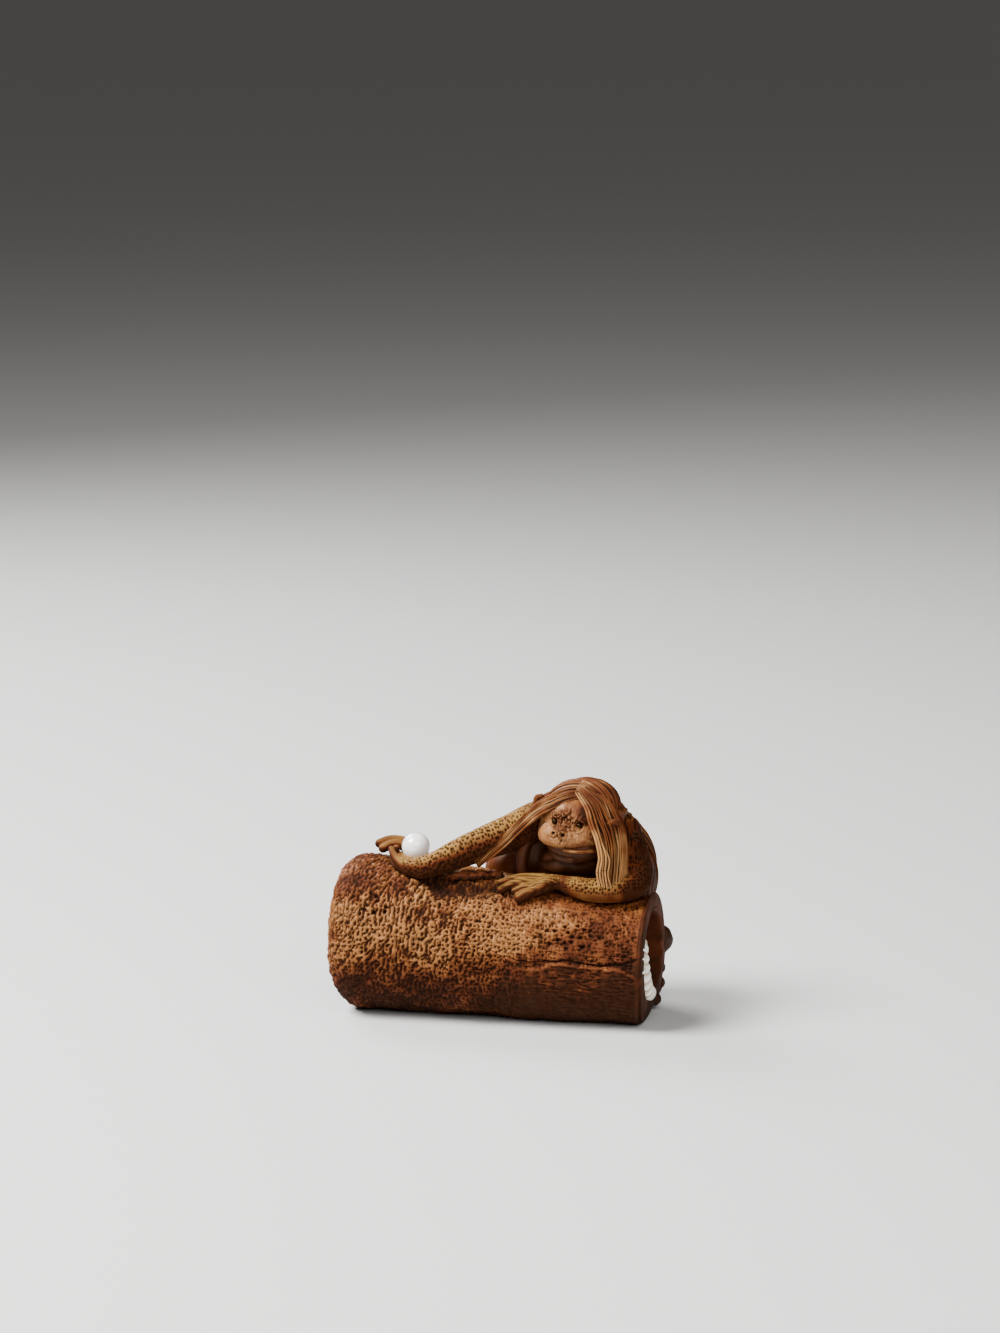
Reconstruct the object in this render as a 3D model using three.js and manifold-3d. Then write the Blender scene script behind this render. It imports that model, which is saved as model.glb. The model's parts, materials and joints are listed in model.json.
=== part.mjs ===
// An orangutan netsuke: a hollow log with an orangutan leaning over it from behind, carved from one block of
// boxwood, with a pearl in its hand, a bone grub in the mouth of the log and two horn eyes let in.
// Millimetres, +Z up, +X along the log towards its open mouth, -Y towards the ape's face. The origin is the
// middle of the flat that the log stands on.
import * as THREE from "three";
import { mergeVertices } from "three/addons/utils/BufferGeometryUtils.js";
import Module from "manifold-3d";

const wasm = await Module();
wasm.setup();

// ---- driving dimensions -------------------------------------------------------------------------------------
const LOG_MOUTH_X = 24.5;
const LOG_BUTT_X = -25.7;
const LOG_RADIUS_BUTT = 12.4; // at the rounded end, -X
const LOG_RADIUS_MOUTH = 9.9; // at the open mouth, +X
const LOG_BELLY = 0.25; // how far the log swells half way along
const STANDING_FLAT_DEPTH = 0.15; // what is shaved off underneath, so that the log can't roll
const BUTT_ROUNDING = 4.6;
const BORE_RADIUS_MOUTH = 6.9;
const BORE_RADIUS_BUTT = 6.5;
const BORE_LIP = 1.3; // rounding where the bore leaves the butt
const BORE_LIFT = 0.9; // the wall is thicker underneath
const RIM_CHAMFER = 0.3;
const MOUTH_WEAR = 1.3; // how far the mouth is worn back at the ground
const MOUTH_WEAR_HEIGHT = 9;

const PEARL_RADIUS = 2.22;
const PEARL_CENTRE = [-13.1, -1.7, 26.4];
const EYE_RADIUS = 0.5;
const EYE_CENTRES = { eye_right: [9.75, -4.35, 32.05], eye_left: [13.65, -4.4, 31.5] };
const SEAT_GAP = 0.1; // play round a piece that is let into the wood
const EYE_GAP = 0.05;

const LOG_SIDES = 32;
const LIMB_SIDES = 8;
const FINGER_SIDES = 6;
const LOCK_SIDES = 5;
const BLOB_SIDES = 12;
const CAP_RINGS = 1;

const BOXWOOD = new THREE.MeshStandardMaterial({ color: 0x8a5426, roughness: 0.45, metalness: 0 });
const PEARL = new THREE.MeshStandardMaterial({ color: 0xeeeaf0, roughness: 0.2, metalness: 0 });
const BONE = new THREE.MeshStandardMaterial({ color: 0xd9d6c0, roughness: 0.4, metalness: 0 });
const HORN = new THREE.MeshStandardMaterial({ color: 0x17110d, roughness: 0.1, metalness: 0 });

// ---- solids -------------------------------------------------------------------------------------------------
// A closed three.js geometry as a manifold-3d solid.
function solidOf(geometry) {
  const bare = geometry.clone();
  bare.deleteAttribute("normal");
  bare.deleteAttribute("uv");
  const merged = mergeVertices(bare, 1e-4);
  const mesh = new wasm.Mesh({
    numProp: 3,
    vertProperties: new Float32Array(merged.attributes.position.array),
    triVerts: new Uint32Array(merged.index.array),
  });
  return new wasm.Manifold(mesh);
}

// A manifold-3d solid as a named three.js mesh.
function meshOf(name, solid, material) {
  const made = solid.getMesh();
  const geometry = new THREE.BufferGeometry();
  geometry.setAttribute("position", new THREE.BufferAttribute(made.vertProperties, 3));
  geometry.setIndex(new THREE.BufferAttribute(made.triVerts, 1));
  geometry.computeVertexNormals();
  const mesh = new THREE.Mesh(geometry, material);
  mesh.name = name;
  return mesh;
}

// Solid between rings of equally many points, closed by a fan at each end. The fans meet at the given poles, or
// else at the middle of the end rings.
function tube(positions, sides, firstPole = null, lastPole = null) {
  const count = positions.length / 3 / sides;
  const middle = (ring) => {
    const sum = new THREE.Vector3();
    for (let k = 0; k < sides; k++) sum.add(new THREE.Vector3().fromArray(positions, 3 * (ring * sides + k)));
    return sum.divideScalar(sides);
  };
  const all = [...positions, ...(firstPole ?? middle(0)), ...(lastPole ?? middle(count - 1))];
  const [first, last] = [count * sides, count * sides + 1];
  const index = [];
  for (let k = 0; k < sides; k++) {
    const next = (k + 1) % sides;
    for (let j = 0; j < count - 1; j++) {
      const [a, b] = [j * sides + k, j * sides + next];
      index.push(a, a + sides, b, b, a + sides, b + sides);
    }
    const end = (count - 1) * sides;
    index.push(first, k, next, last, end + next, end + k);
  }
  const geometry = new THREE.BufferGeometry();
  geometry.setAttribute("position", new THREE.BufferAttribute(new Float32Array(all), 3));
  geometry.setIndex(index);
  const solid = solidOf(geometry);
  if (solid.volume() > 0) return solid;
  geometry.setIndex(index.reverse());
  return solidOf(geometry);
}

// Rounded form carried along a smooth curve: each stop is [x, y, z, half width, half thickness]. Rings of the
// section stand across the curve, and both ends are closed by a dome.
function limb(stops, { sides = LIMB_SIDES, rings = 2 * (stops.length - 1), up = [0, 0, 1], ring = null } = {}) {
  const line = new THREE.CatmullRomCurve3(stops.map(([x, y, z]) => new THREE.Vector3(x, y, z)));
  const size = new THREE.CatmullRomCurve3(stops.map(([, , , w, t = w]) => new THREE.Vector3(w, t, 0)));
  const upward = new THREE.Vector3(...up);
  const sections = [];
  const section = (along, past, shrink) => {
    const centre = line.getPoint(along);
    const tangent = line.getTangent(along);
    const { x: width, y: thickness } = size.getPoint(along);
    const side = new THREE.Vector3().crossVectors(tangent, upward).normalize();
    const normal = new THREE.Vector3().crossVectors(side, tangent);
    const swell = ring ? ring(along) : 1;
    centre.addScaledVector(tangent, past * 0.5 * (width + thickness));
    return { centre, side, normal, width: width * shrink * swell, thickness: thickness * shrink * swell };
  };
  for (let i = 1; i <= CAP_RINGS; i++) {
    const a = (i / (CAP_RINGS + 1)) * (Math.PI / 2);
    sections.push(section(0, -Math.cos(a), Math.sin(a)));
  }
  for (let i = 0; i <= rings; i++) sections.push(section(i / rings, 0, 1));
  for (let i = CAP_RINGS; i >= 1; i--) {
    const a = (i / (CAP_RINGS + 1)) * (Math.PI / 2);
    sections.push(section(1, Math.cos(a), Math.sin(a)));
  }
  const positions = [];
  for (const { centre, side, normal, width, thickness } of sections)
    for (let k = 0; k < sides; k++) {
      const a = (k / sides) * 2 * Math.PI;
      const p = centre
        .clone()
        .addScaledVector(side, width * Math.cos(a))
        .addScaledVector(normal, thickness * Math.sin(a));
      positions.push(p.x, p.y, p.z);
    }
  return tube(positions, sides, section(0, -1, 0).centre, section(1, 1, 0).centre);
}

// Ellipsoid about a centre.
function blob([x, y, z], [rx, ry, rz], sides = BLOB_SIDES) {
  const geometry = new THREE.SphereGeometry(1, sides, Math.round(sides * 0.55));
  geometry.scale(rx, ry, rz).translate(x, y, z);
  return solidOf(geometry);
}

const join = (solids) => solids.reduce((whole, solid) => whole.add(solid));

// ---- the hollow log -----------------------------------------------------------------------------------------
// Outer radius at a place along the log: an even taper with a slight swell half way.
function logRadius(x) {
  const t = (x - LOG_BUTT_X) / (LOG_MOUTH_X - LOG_BUTT_X);
  return THREE.MathUtils.lerp(LOG_RADIUS_BUTT, LOG_RADIUS_MOUTH, t) + LOG_BELLY * 4 * t * (1 - t);
}

// Height of the log's middle at a place along it: it lies on the ground all along.
const logMiddle = (x) => logRadius(x) - STANDING_FLAT_DEPTH;

// How far the wall is worn back near the mouth: most at the ground, and none above MOUTH_WEAR_HEIGHT.
function mouthWear(x, z) {
  const down = THREE.MathUtils.clamp(1 - z / MOUTH_WEAR_HEIGHT, 0, 1);
  const near = THREE.MathUtils.smoothstep(x, LOG_MOUTH_X - 3 * MOUTH_WEAR, LOG_MOUTH_X);
  return MOUTH_WEAR * down ** 2 * near;
}

function logSolid() {
  const profile = []; // [radius, place along the log], round the wall, from the mouth's inner edge
  profile.push([BORE_RADIUS_MOUTH, LOG_MOUTH_X]);
  profile.push([LOG_RADIUS_MOUTH - RIM_CHAMFER, LOG_MOUTH_X]);
  const OUTER_STEPS = 3;
  const shoulder = LOG_BUTT_X + BUTT_ROUNDING;
  for (let i = 0; i <= OUTER_STEPS; i++) {
    const x = THREE.MathUtils.lerp(LOG_MOUTH_X - RIM_CHAMFER, shoulder, i / OUTER_STEPS);
    profile.push([logRadius(x), x]);
  }
  const ARC_STEPS = 4;
  for (let i = 1; i <= ARC_STEPS; i++) {
    const a = (i / ARC_STEPS) * (Math.PI / 2);
    profile.push([
      logRadius(shoulder) - BUTT_ROUNDING * (1 - Math.cos(a)),
      shoulder - BUTT_ROUNDING * Math.sin(a),
    ]);
  }
  const LIP_STEPS = 2;
  for (let i = 0; i <= LIP_STEPS; i++) {
    const a = (i / LIP_STEPS) * (Math.PI / 2);
    profile.push([
      BORE_RADIUS_BUTT + BORE_LIP * (1 - Math.sin(a)),
      LOG_BUTT_X + BORE_LIP * (1 - Math.cos(a)),
    ]);
  }
  profile.push([...profile[0]]);
  const geometry = new THREE.LatheGeometry(profile.map(([r, x]) => new THREE.Vector2(r, x)), LOG_SIDES);
  geometry.rotateZ(-Math.PI / 2); // the lathe's axis becomes +X
  const position = geometry.attributes.position;
  for (let i = 0; i < position.count; i++) {
    const x = position.getX(i);
    const inside = Math.hypot(position.getY(i), position.getZ(i)) < 0.5 * (BORE_RADIUS_MOUTH + LOG_RADIUS_MOUTH);
    const inBore = inside && x > LOG_BUTT_X + 0.5 * BORE_LIP;
    const z = position.getZ(i) + logMiddle(x) + (inBore ? BORE_LIFT : 0);
    position.setZ(i, z);
    position.setX(i, x - mouthWear(x, z));
  }
  let solid = solidOf(geometry);
  if (solid.volume() < 0) {
    geometry.setIndex([...geometry.index.array].reverse());
    solid = solidOf(geometry);
  }
  return solid;
}

// A lip of bark that stands along the top of the log, under the outstretched arm.
const barkLip = () =>
  limb([
    [-8.0, -5.0, 22.2, 0.5, 0.4],
    [-5.8, -4.8, 22.6, 1.0, 0.6],
    [-3.2, -4.1, 22.8, 1.1, 0.6],
    [0.6, -2.6, 22.7, 0.8, 0.5],
  ], { sides: FINGER_SIDES, rings: 6 });

// ---- the orangutan ------------------------------------------------------------------------------------------
// Names of the ape's sides are its own: its right is towards -X.
const RIGHT_ARM = [
  [8.8, 4.4, 30.9, 3.8],
  [5.1, 2.2, 30.2, 3.35],
  [2.35, 0.0, 29.2, 3.0],
  [-1.2, -2.0, 27.9, 2.7],
  [-5.0, -4.0, 26.4, 2.4],
  [-8.3, -5.5, 24.95, 2.0],
  [-10.8, -5.9, 24.1, 1.8],
  [-12.8, -5.2, 23.8, 1.9, 1.5],
];
const LEFT_ARM = [
  [18.0, 3.0, 28.6, 4.0],
  [20.6, 0.8, 25.4, 3.1],
  [21.9, -2.2, 22.7, 2.5],
  [20.0, -4.1, 21.9, 2.1],
  [16.2, -4.9, 21.6, 1.9],
  [13.0, -4.9, 22.0, 1.6],
  [10.8, -4.6, 22.4, 1.35, 1.2],
];

const torso = () => [
  blob([12, 8.6, 20.5], [11.2, 7.4, 11.8]),
  blob([5.4, 5.0, 25.2], [5.2, 5.0, 6.6]),
  blob([1.8, 4.4, 22.4], [5.2, 3.8, 4.2]),
  blob([12, 2.6, 24.2], [7.4, 4.6, 5.0]),
  blob([12, 11.8, 7.6], [9.6, 5.2, 8.2]),
];

const shoulders = () => [
  blob([17.2, 4.2, 28.2], [4.5, 4.8, 4.6]),
  blob([7.6, 4.6, 30.0], [4.4, 4.4, 4.4]),
];

function head() {
  const brow = (x, z, lean) =>
    limb([
      [x - 1.3, -4.2, z - 0.1 - lean, 0.4, 0.35],
      [x, -4.75, z + 0.35, 0.45, 0.4],
      [x + 1.3, -4.3, z - 0.1 + lean, 0.4, 0.35],
    ], { sides: LOCK_SIDES, rings: 4, up: [0, -1, 0] });
  return [
    blob([12.3, 2.2, 31.3], [5.8, 5.7, 5.8]),
    blob([13.6, 2.6, 33.0], [5.0, 4.8, 4.4]),
    blob([11.8, -0.8, 31.8], [4.9, 3.9, 4.3]),
    blob([11.7, -2.4, 30.0], [5.1, 3.8, 2.7], 14),
    blob([12.6, -1.7, 27.5], [4.6, 3.3, 2.5]),
    blob([12.2, 0.6, 25.2], [5.8, 3.6, 3.0]),
    limb([
      [10.9, -4.5, 32.4, 0.6, 0.5],
      [10.6, -5.4, 31.4, 0.65, 0.6],
      [10.6, -6.0, 30.7, 0.8, 0.5],
    ], { sides: FINGER_SIDES, rings: 4, up: [0, -1, 0] }),
    blob([9.75, -5.7, 30.5], [0.75, 0.6, 0.55], 6),
    blob([11.6, -5.8, 30.35], [0.75, 0.6, 0.55], 6),
    brow(9.7, 32.9, 0.1),
    brow(13.7, 32.4, -0.1),
  ];
}

const lipGap = () =>
  limb([
    [11.6, -6.1, 28.0, 0.5, 0.2],
    [14.0, -5.8, 28.1, 0.6, 0.22],
    [16.6, -4.2, 28.1, 0.5, 0.2],
  ], { sides: LOCK_SIDES, rings: 6 });

const ear = (x, y, z) => blob([x, y, z], [0.7, 0.9, 1.1], 6);

// Hair that falls in locks side by side, as one ridged sheet that thins out towards its tips. Each edge is a row
// of places from root to tip; the first and last are the sheet's borders, the first on the right hand of someone
// who looks along the fall with the outer face up. Across the sheet, count ridges stand on its outer face.
function curtain(count, edges, { thickness = 0.7, ridge = 0.5, rings = 8 } = {}) {
  const lines = edges.map((edge) => new THREE.CatmullRomCurve3(edge.map((p) => new THREE.Vector3(...p))));
  const POINTS_PER_LOCK = 2;
  const across = POINTS_PER_LOCK * count;
  const positions = [];
  for (let j = 0; j <= rings; j++) {
    const bow = new THREE.CatmullRomCurve3(lines.map((line) => line.getPoint(j / rings)));
    const fall = lines[0].getTangent(j / rings).add(lines[lines.length - 1].getTangent(j / rings));
    const outward = (u) => new THREE.Vector3().crossVectors(fall, bow.getTangent(u)).normalize();
    const fade = 1 - 0.8 * (j / rings) ** 4;
    const outer = [];
    const inner = [];
    for (let i = 0; i <= across; i++) {
      const u = i / across;
      const rise = fade * (0.2 * thickness + ridge * Math.abs(Math.sin(u * count * Math.PI)));
      outer.push(bow.getPoint(u).addScaledVector(outward(u), rise));
      if (i % POINTS_PER_LOCK === 0) inner.push(bow.getPoint(u).addScaledVector(outward(u), -thickness));
    }
    for (const p of [...outer, ...inner.reverse()]) positions.push(p.x, p.y, p.z);
  }
  return tube(positions, across + 1 + count + 1);
}

// Single round lock.
const lock = (stops, width) => limb(stops.map((p) => [...p, width]), { sides: LOCK_SIDES, rings: 6 });

const leftCurtain = () =>
  curtain(8, [
    [[12.9, -1.9, 36.2], [16.0, -4.1, 33.7], [17.6, -5.2, 29.6], [18.1, -5.8, 22.4]],
    [[13.0, 0.6, 37.2], [18.2, -2.3, 33.7], [19.9, -3.8, 28.8], [20.3, -5.4, 22.0]],
    [[13.2, 3.2, 37.2], [19.0, 1.2, 33.8], [21.7, -0.8, 28.4], [22.6, -4.0, 21.8]],
  ], { rings: 5 });

const rightCurtain = () =>
  curtain(4, [
    [[11.8, -0.2, 37.0], [8.2, -1.0, 35.4], [4.6, -1.5, 32.7], [1.2, -3.0, 29.6], [-1.9, -3.9, 26.4]],
    [[12.2, -2.0, 36.0], [8.6, -3.1, 34.2], [5.0, -3.6, 31.2], [1.3, -4.1, 28.2], [-2.3, -4.5, 25.6]],
  ], { rings: 6 });

const rightCape = () =>
  curtain(5, [
    [[11.8, 6.0, 35.6], [6.8, 7.6, 32.6], [3.2, 8.2, 28.6], [1.4, 7.2, 23.0]],
    [[11.8, 3.4, 36.8], [6.6, 3.8, 34.4], [3.2, 4.0, 30.8], [0.8, 2.8, 26.0]],
    [[11.8, 0.6, 37.0], [7.8, 0.0, 35.0], [4.4, -0.4, 32.3], [1.4, -1.0, 29.6]],
  ], { thickness: 1.4, rings: 5 });

const backLocks = () =>
  curtain(6, [
    [[13.2, 3.6, 36.8], [19.6, 7.8, 30.4], [21.6, 10.2, 22.6], [20.2, 12.2, 15.0], [18.4, 14.6, 8.4]],
    [[12.4, 6.2, 36.2], [12.2, 12.2, 30.4], [12.0, 15.6, 22.6], [12.0, 15.6, 15.0], [12.0, 16.2, 8.4]],
    [[11.6, 3.6, 36.8], [5.2, 8.2, 30.4], [2.6, 10.6, 22.6], [3.8, 12.2, 15.0], [5.6, 14.6, 8.4]],
  ], { thickness: 1.4, rings: 5 });

// Hair under the jaw, beside the chest.
const beardLock = () => lock([[4.4, -0.4, 28.0], [3.8, -0.6, 26.0], [3.6, -0.7, 24.2], [3.7, -0.8, 22.6]], 0.9);

const finger = (stops) => limb(stops, { sides: FINGER_SIDES, rings: Math.round(1.5 * (stops.length - 1)) });

// The left hand lies on the log, its long fingers fanned towards the butt.
const leftHand = () => [
  limb([
    [11.2, -4.6, 22.4, 1.4, 1.2],
    [9.0, -4.4, 22.5, 1.9, 1.15],
    [7.2, -4.8, 22.1, 1.9, 1.0],
  ]),
  finger([[9.2, -5.6, 22.2, 0.8], [6.8, -6.5, 21.4, 0.72], [4.6, -7.2, 20.3, 0.62]]),
  finger([[8.4, -5.2, 22.3, 0.75], [6.0, -5.9, 21.8, 0.68], [3.9, -6.5, 21.0, 0.55]]),
  finger([[7.8, -4.4, 22.5, 0.75], [4.3, -5.1, 22.2, 0.7], [1.6, -6.0, 21.2, 0.55]]),
  finger([[7.8, -3.6, 22.8, 0.75], [4.0, -3.8, 22.7, 0.7], [1.0, -4.6, 22.0, 0.55]]),
];

// The right hand cups the pearl: palm below it, thumb before it, fingers round behind with curled tips.
const rightHand = () => [
  limb([
    [-11.8, -4.9, 23.7, 1.9, 1.3],
    [-13.4, -3.2, 23.7, 2.9, 1.3],
    [-14.6, -0.9, 23.9, 2.8, 1.3],
  ]),
  finger([[-12.6, -5.6, 24.0, 1.2], [-15.2, -5.3, 24.6, 0.85], [-16.5, -4.3, 25.4, 0.62], [-16.9, -3.3, 26.2, 0.5]]),
  finger([[-13.6, 1.0, 24.9, 0.9], [-15.6, 2.0, 26.2, 0.8], [-18.0, 1.7, 26.5, 0.8], [-19.6, 0.6, 26.1, 0.75]]),
  finger([[-14.6, 0.4, 24.6, 0.85], [-16.0, 1.0, 25.8, 0.75], [-17.6, 0.6, 26.0, 0.75], [-18.8, -0.4, 25.5, 0.7]]),
  finger([[-15.2, -1.0, 24.2, 0.85], [-16.6, -0.9, 25.0, 0.7], [-16.4, -1.2, 25.9, 0.55]]),
  finger([[-13.2, 0.8, 24.4, 0.9], [-13.6, 1.7, 25.8, 0.8], [-14.0, 1.4, 27.0, 0.65]]),
];

// Legs are drawn up behind the log, the toes hooked round it.
const leftLeg = () => [
  limb([[15.0, 13.0, 7.6, 4.6], [19.4, 12.6, 9.8, 3.5], [23.1, 10.4, 10.9, 2.5]]),
  limb([[22.7, 10.9, 10.5, 2.4], [21.0, 12.2, 6.8, 2.0], [17.6, 12.4, 3.0, 2.2]]),
  limb([[16.6, 12.2, 2.0, 1.9], [19.6, 11.2, 3.0, 2.1], [22.2, 9.6, 4.2, 1.5, 2.6]]),
  finger([[20.8, 10.4, 5.0, 1.2], [22.2, 10.2, 6.2, 1.15], [23.5, 9.4, 6.5, 1.15]]),
  finger([[20.8, 10.0, 3.4, 1.1], [22.6, 9.4, 4.1, 1.05], [23.7, 8.6, 4.25, 1.05]]),
  finger([[20.4, 9.4, 1.9, 1.1], [22.2, 8.6, 1.9, 1.1], [23.2, 7.6, 1.8, 1.15]]),
];
const rightLeg = () => [
  limb([[9.0, 13.4, 7.6, 4.6], [4.4, 14.0, 10.0, 3.6], [1.2, 13.0, 11.2, 2.8]]),
  limb([[1.2, 13.1, 11.0, 2.5], [3.2, 13.8, 7.0, 2.1], [6.2, 13.2, 3.0, 2.2]]),
  limb([[7.2, 12.8, 2.0, 1.9], [4.2, 12.0, 2.9, 2.0], [1.8, 10.6, 3.6, 1.2, 2.0]]),
  finger([[2.8, 11.2, 5.2, 1.0], [0.8, 11.6, 6.3, 0.85], [-1.0, 11.1, 6.6, 0.8]]),
  finger([[2.6, 10.6, 3.6, 1.0], [0.4, 10.5, 4.4, 0.9], [-1.2, 9.8, 4.6, 0.85]]),
  finger([[3.0, 9.4, 1.9, 1.0], [0.8, 8.8, 2.1, 0.9], [-0.8, 7.8, 2.2, 0.9]]),
];

const orangutan = () =>
  join([
    ...torso(),
    ...shoulders(),
    ...head(),
    limb(RIGHT_ARM, { sides: 10, rings: 10 }),
    limb(LEFT_ARM, { sides: 10, rings: 9 }),
    ...leftHand(),
    ...rightHand(),
    ...leftLeg(),
    ...rightLeg(),
    leftCurtain(),
    rightCurtain(),
    rightCape(),
    backLocks(),
    beardLock(),
    ear(18.6, -0.4, 31.4),
    ear(6.3, 2.4, 34.2),
  ]);

// ---- the pieces let into the wood ---------------------------------------------------------------------------
const pearlBall = (radius) => {
  const geometry = new THREE.SphereGeometry(radius, 16, 10);
  geometry.translate(...PEARL_CENTRE);
  return solidOf(geometry);
};

const eyeBall = (centre, radius) => {
  const geometry = new THREE.SphereGeometry(radius, 8, 6);
  geometry.translate(...centre);
  return solidOf(geometry);
};

// A larva that creeps round the wall of the mouth, from the bottom up the near side: its rings are swells along
// the body, and its back is let a little into the wood all along.
const GRUB_RINGS = 9;
const GRUB_X = 24.25;
const GRUB_HALF_WIDTHS = [0.7, 1.15, 1.4, 1.5, 1.5, 1.35, 0.9]; // at even steps from head to tail
const GRUB_FLATNESS = 0.66; // thickness over width
const GRUB_SPAN = [150, 281].map(THREE.MathUtils.degToRad); // angles of head and tail in the mouth, from +Y
const GRUB_SINK = 0.15;
const grubBody = (play) => {
  const stops = GRUB_HALF_WIDTHS.map((width, i) => {
    const a = THREE.MathUtils.lerp(...GRUB_SPAN, i / (GRUB_HALF_WIDTHS.length - 1));
    const reach = BORE_RADIUS_MOUTH + GRUB_SINK - width;
    const middle = logMiddle(LOG_MOUTH_X) + BORE_LIFT;
    return [GRUB_X, reach * Math.cos(a), middle + reach * Math.sin(a), width + play, GRUB_FLATNESS * width + play];
  });
  return limb(stops, {
    sides: 8,
    rings: 2 * GRUB_RINGS,
    up: [1, 0, 0],
    ring: (along) => 1 - 0.07 * Math.cos(along * GRUB_RINGS * 2 * Math.PI),
  });
};

// ---- assembly -----------------------------------------------------------------------------------------------
function underGround() {
  const size = 200;
  const geometry = new THREE.BoxGeometry(size, size, size);
  geometry.translate(0, 0, -size / 2);
  return solidOf(geometry);
}

// What would grow into the hollow of the log is cut away again.
function hollow() {
  const reach = 2;
  const profile = [
    [0, LOG_BUTT_X - reach],
    [BORE_RADIUS_BUTT, LOG_BUTT_X - reach],
    [BORE_RADIUS_BUTT, LOG_BUTT_X],
    [BORE_RADIUS_MOUTH, LOG_MOUTH_X],
    [BORE_RADIUS_MOUTH, LOG_MOUTH_X + reach],
    [0, LOG_MOUTH_X + reach],
  ];
  const geometry = new THREE.LatheGeometry(profile.map(([r, x]) => new THREE.Vector2(r, x)), LOG_SIDES);
  geometry.rotateZ(-Math.PI / 2);
  const position = geometry.attributes.position;
  for (let i = 0; i < position.count; i++) {
    const x = THREE.MathUtils.clamp(position.getX(i), LOG_BUTT_X, LOG_MOUTH_X);
    position.setZ(i, position.getZ(i) + logMiddle(x) + BORE_LIFT);
  }
  let solid = solidOf(geometry);
  if (solid.volume() < 0) {
    geometry.setIndex([...geometry.index.array].reverse());
    solid = solidOf(geometry);
  }
  return solid;
}

// The outer skin alone of a solid: pockets sealed inside it are wood too.
const filled = (solid) => solid.decompose().sort((a, b) => b.volume() - a.volume())[0];

function carving() {
  const figure = orangutan().subtract(lipGap()).subtract(hollow());
  let wood = filled(join([logSolid(), barkLip(), figure]).subtract(underGround()));
  wood = wood.subtract(pearlBall(PEARL_RADIUS + SEAT_GAP));
  wood = wood.subtract(grubBody(SEAT_GAP));
  for (const centre of Object.values(EYE_CENTRES)) wood = wood.subtract(eyeBall(centre, EYE_RADIUS + EYE_GAP));
  return wood;
}

const netsuke = new THREE.Group();
netsuke.add(meshOf("carving", carving(), BOXWOOD));
netsuke.add(meshOf("pearl", pearlBall(PEARL_RADIUS), PEARL));
netsuke.add(meshOf("grub", grubBody(0), BONE));
for (const [name, centre] of Object.entries(EYE_CENTRES)) netsuke.add(meshOf(name, eyeBall(centre, EYE_RADIUS), HORN));

export default netsuke;
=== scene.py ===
# %% [markdown]
# # An orangutan netsuke
#
# A netsuke is a toggle, small enough to close a hand round. This one is a block of boxwood carved into an
# orangutan that leans over a hollow log, with a pearl in its hand, a bone grub in the log's mouth and eyes
# of horn. The CAD frame holds its plain solids. The pieces made here stand for them: the same forms with
# the carver's last work on them. That is the pitted bark, the strands of hair, the drilled skin, the face,
# and the stain and polish on all of it.

# %% The frame and its box
import itertools
import json
import math

import bpy
import numpy as np
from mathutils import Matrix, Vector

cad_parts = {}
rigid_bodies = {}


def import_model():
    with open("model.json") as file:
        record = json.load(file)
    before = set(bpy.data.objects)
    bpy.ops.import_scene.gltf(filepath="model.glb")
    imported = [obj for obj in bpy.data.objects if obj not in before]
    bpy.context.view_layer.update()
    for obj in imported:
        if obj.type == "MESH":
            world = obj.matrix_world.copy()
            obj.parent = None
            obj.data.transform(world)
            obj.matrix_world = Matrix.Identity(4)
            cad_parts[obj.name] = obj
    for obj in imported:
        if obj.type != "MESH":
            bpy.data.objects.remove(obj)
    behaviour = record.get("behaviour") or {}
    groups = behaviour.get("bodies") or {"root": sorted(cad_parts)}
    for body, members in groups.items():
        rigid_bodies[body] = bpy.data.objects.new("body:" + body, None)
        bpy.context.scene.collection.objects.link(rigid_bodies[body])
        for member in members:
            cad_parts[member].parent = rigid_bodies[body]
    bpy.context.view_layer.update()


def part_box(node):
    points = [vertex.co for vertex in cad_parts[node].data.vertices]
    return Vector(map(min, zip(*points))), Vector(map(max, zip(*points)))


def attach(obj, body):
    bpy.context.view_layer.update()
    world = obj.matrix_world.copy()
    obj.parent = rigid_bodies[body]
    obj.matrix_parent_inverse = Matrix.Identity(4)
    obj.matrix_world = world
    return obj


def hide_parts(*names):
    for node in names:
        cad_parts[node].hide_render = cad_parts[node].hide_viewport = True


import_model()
MM = 0.001  # everything below is worked out in millimetres and made metres where the mesh is built

# %% [markdown]
# ## Surfaces from arrays
#
# A carving has no edges or flats to extrude from, so every surface is a grid of points worked out with
# numpy. Such a grid closes on itself round a path, and its two ends are drawn together in a pole. Writing
# whole arrays into the mesh at once keeps a hundred thousand points as quick as ten.

# %% Faces of a grid
def grid_quads(numbers):
    """Quads between the neighbours of a grid of point numbers."""
    corners = [numbers[:-1, :-1], numbers[:-1, 1:], numbers[1:, 1:], numbers[1:, :-1]]
    return np.stack(corners, -1).reshape(-1, 4)


def fan(pole, here, ahead):
    """Triangles from one pole to each pair of neighbours on a border."""
    return np.stack([np.full(len(here), pole), here, ahead], -1)


def closed_tube(grid, first_pole=None, last_pole=None):
    """Points and faces of a grid of rows x around x 3 that closes on itself round each row: quads between
    the rows, and a fan from each end row to its pole. A pole not given is the middle of its row."""
    rows, around, _ = grid.shape
    numbers = np.arange(rows * around).reshape(rows, around)
    ahead = np.roll(numbers, -1, 1)
    poles = [grid[0].mean(0) if first_pole is None else first_pole,
             grid[-1].mean(0) if last_pole is None else last_pole]
    points = np.concatenate([grid.reshape(-1, 3), np.array(poles)])
    quads = grid_quads(np.pad(numbers, ((0, 0), (0, 1)), mode="wrap"))
    fans = [fan(numbers.size, ahead[0], numbers[0]), fan(numbers.size + 1, numbers[-1], ahead[-1])]
    return points, quads, np.concatenate(fans)


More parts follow.
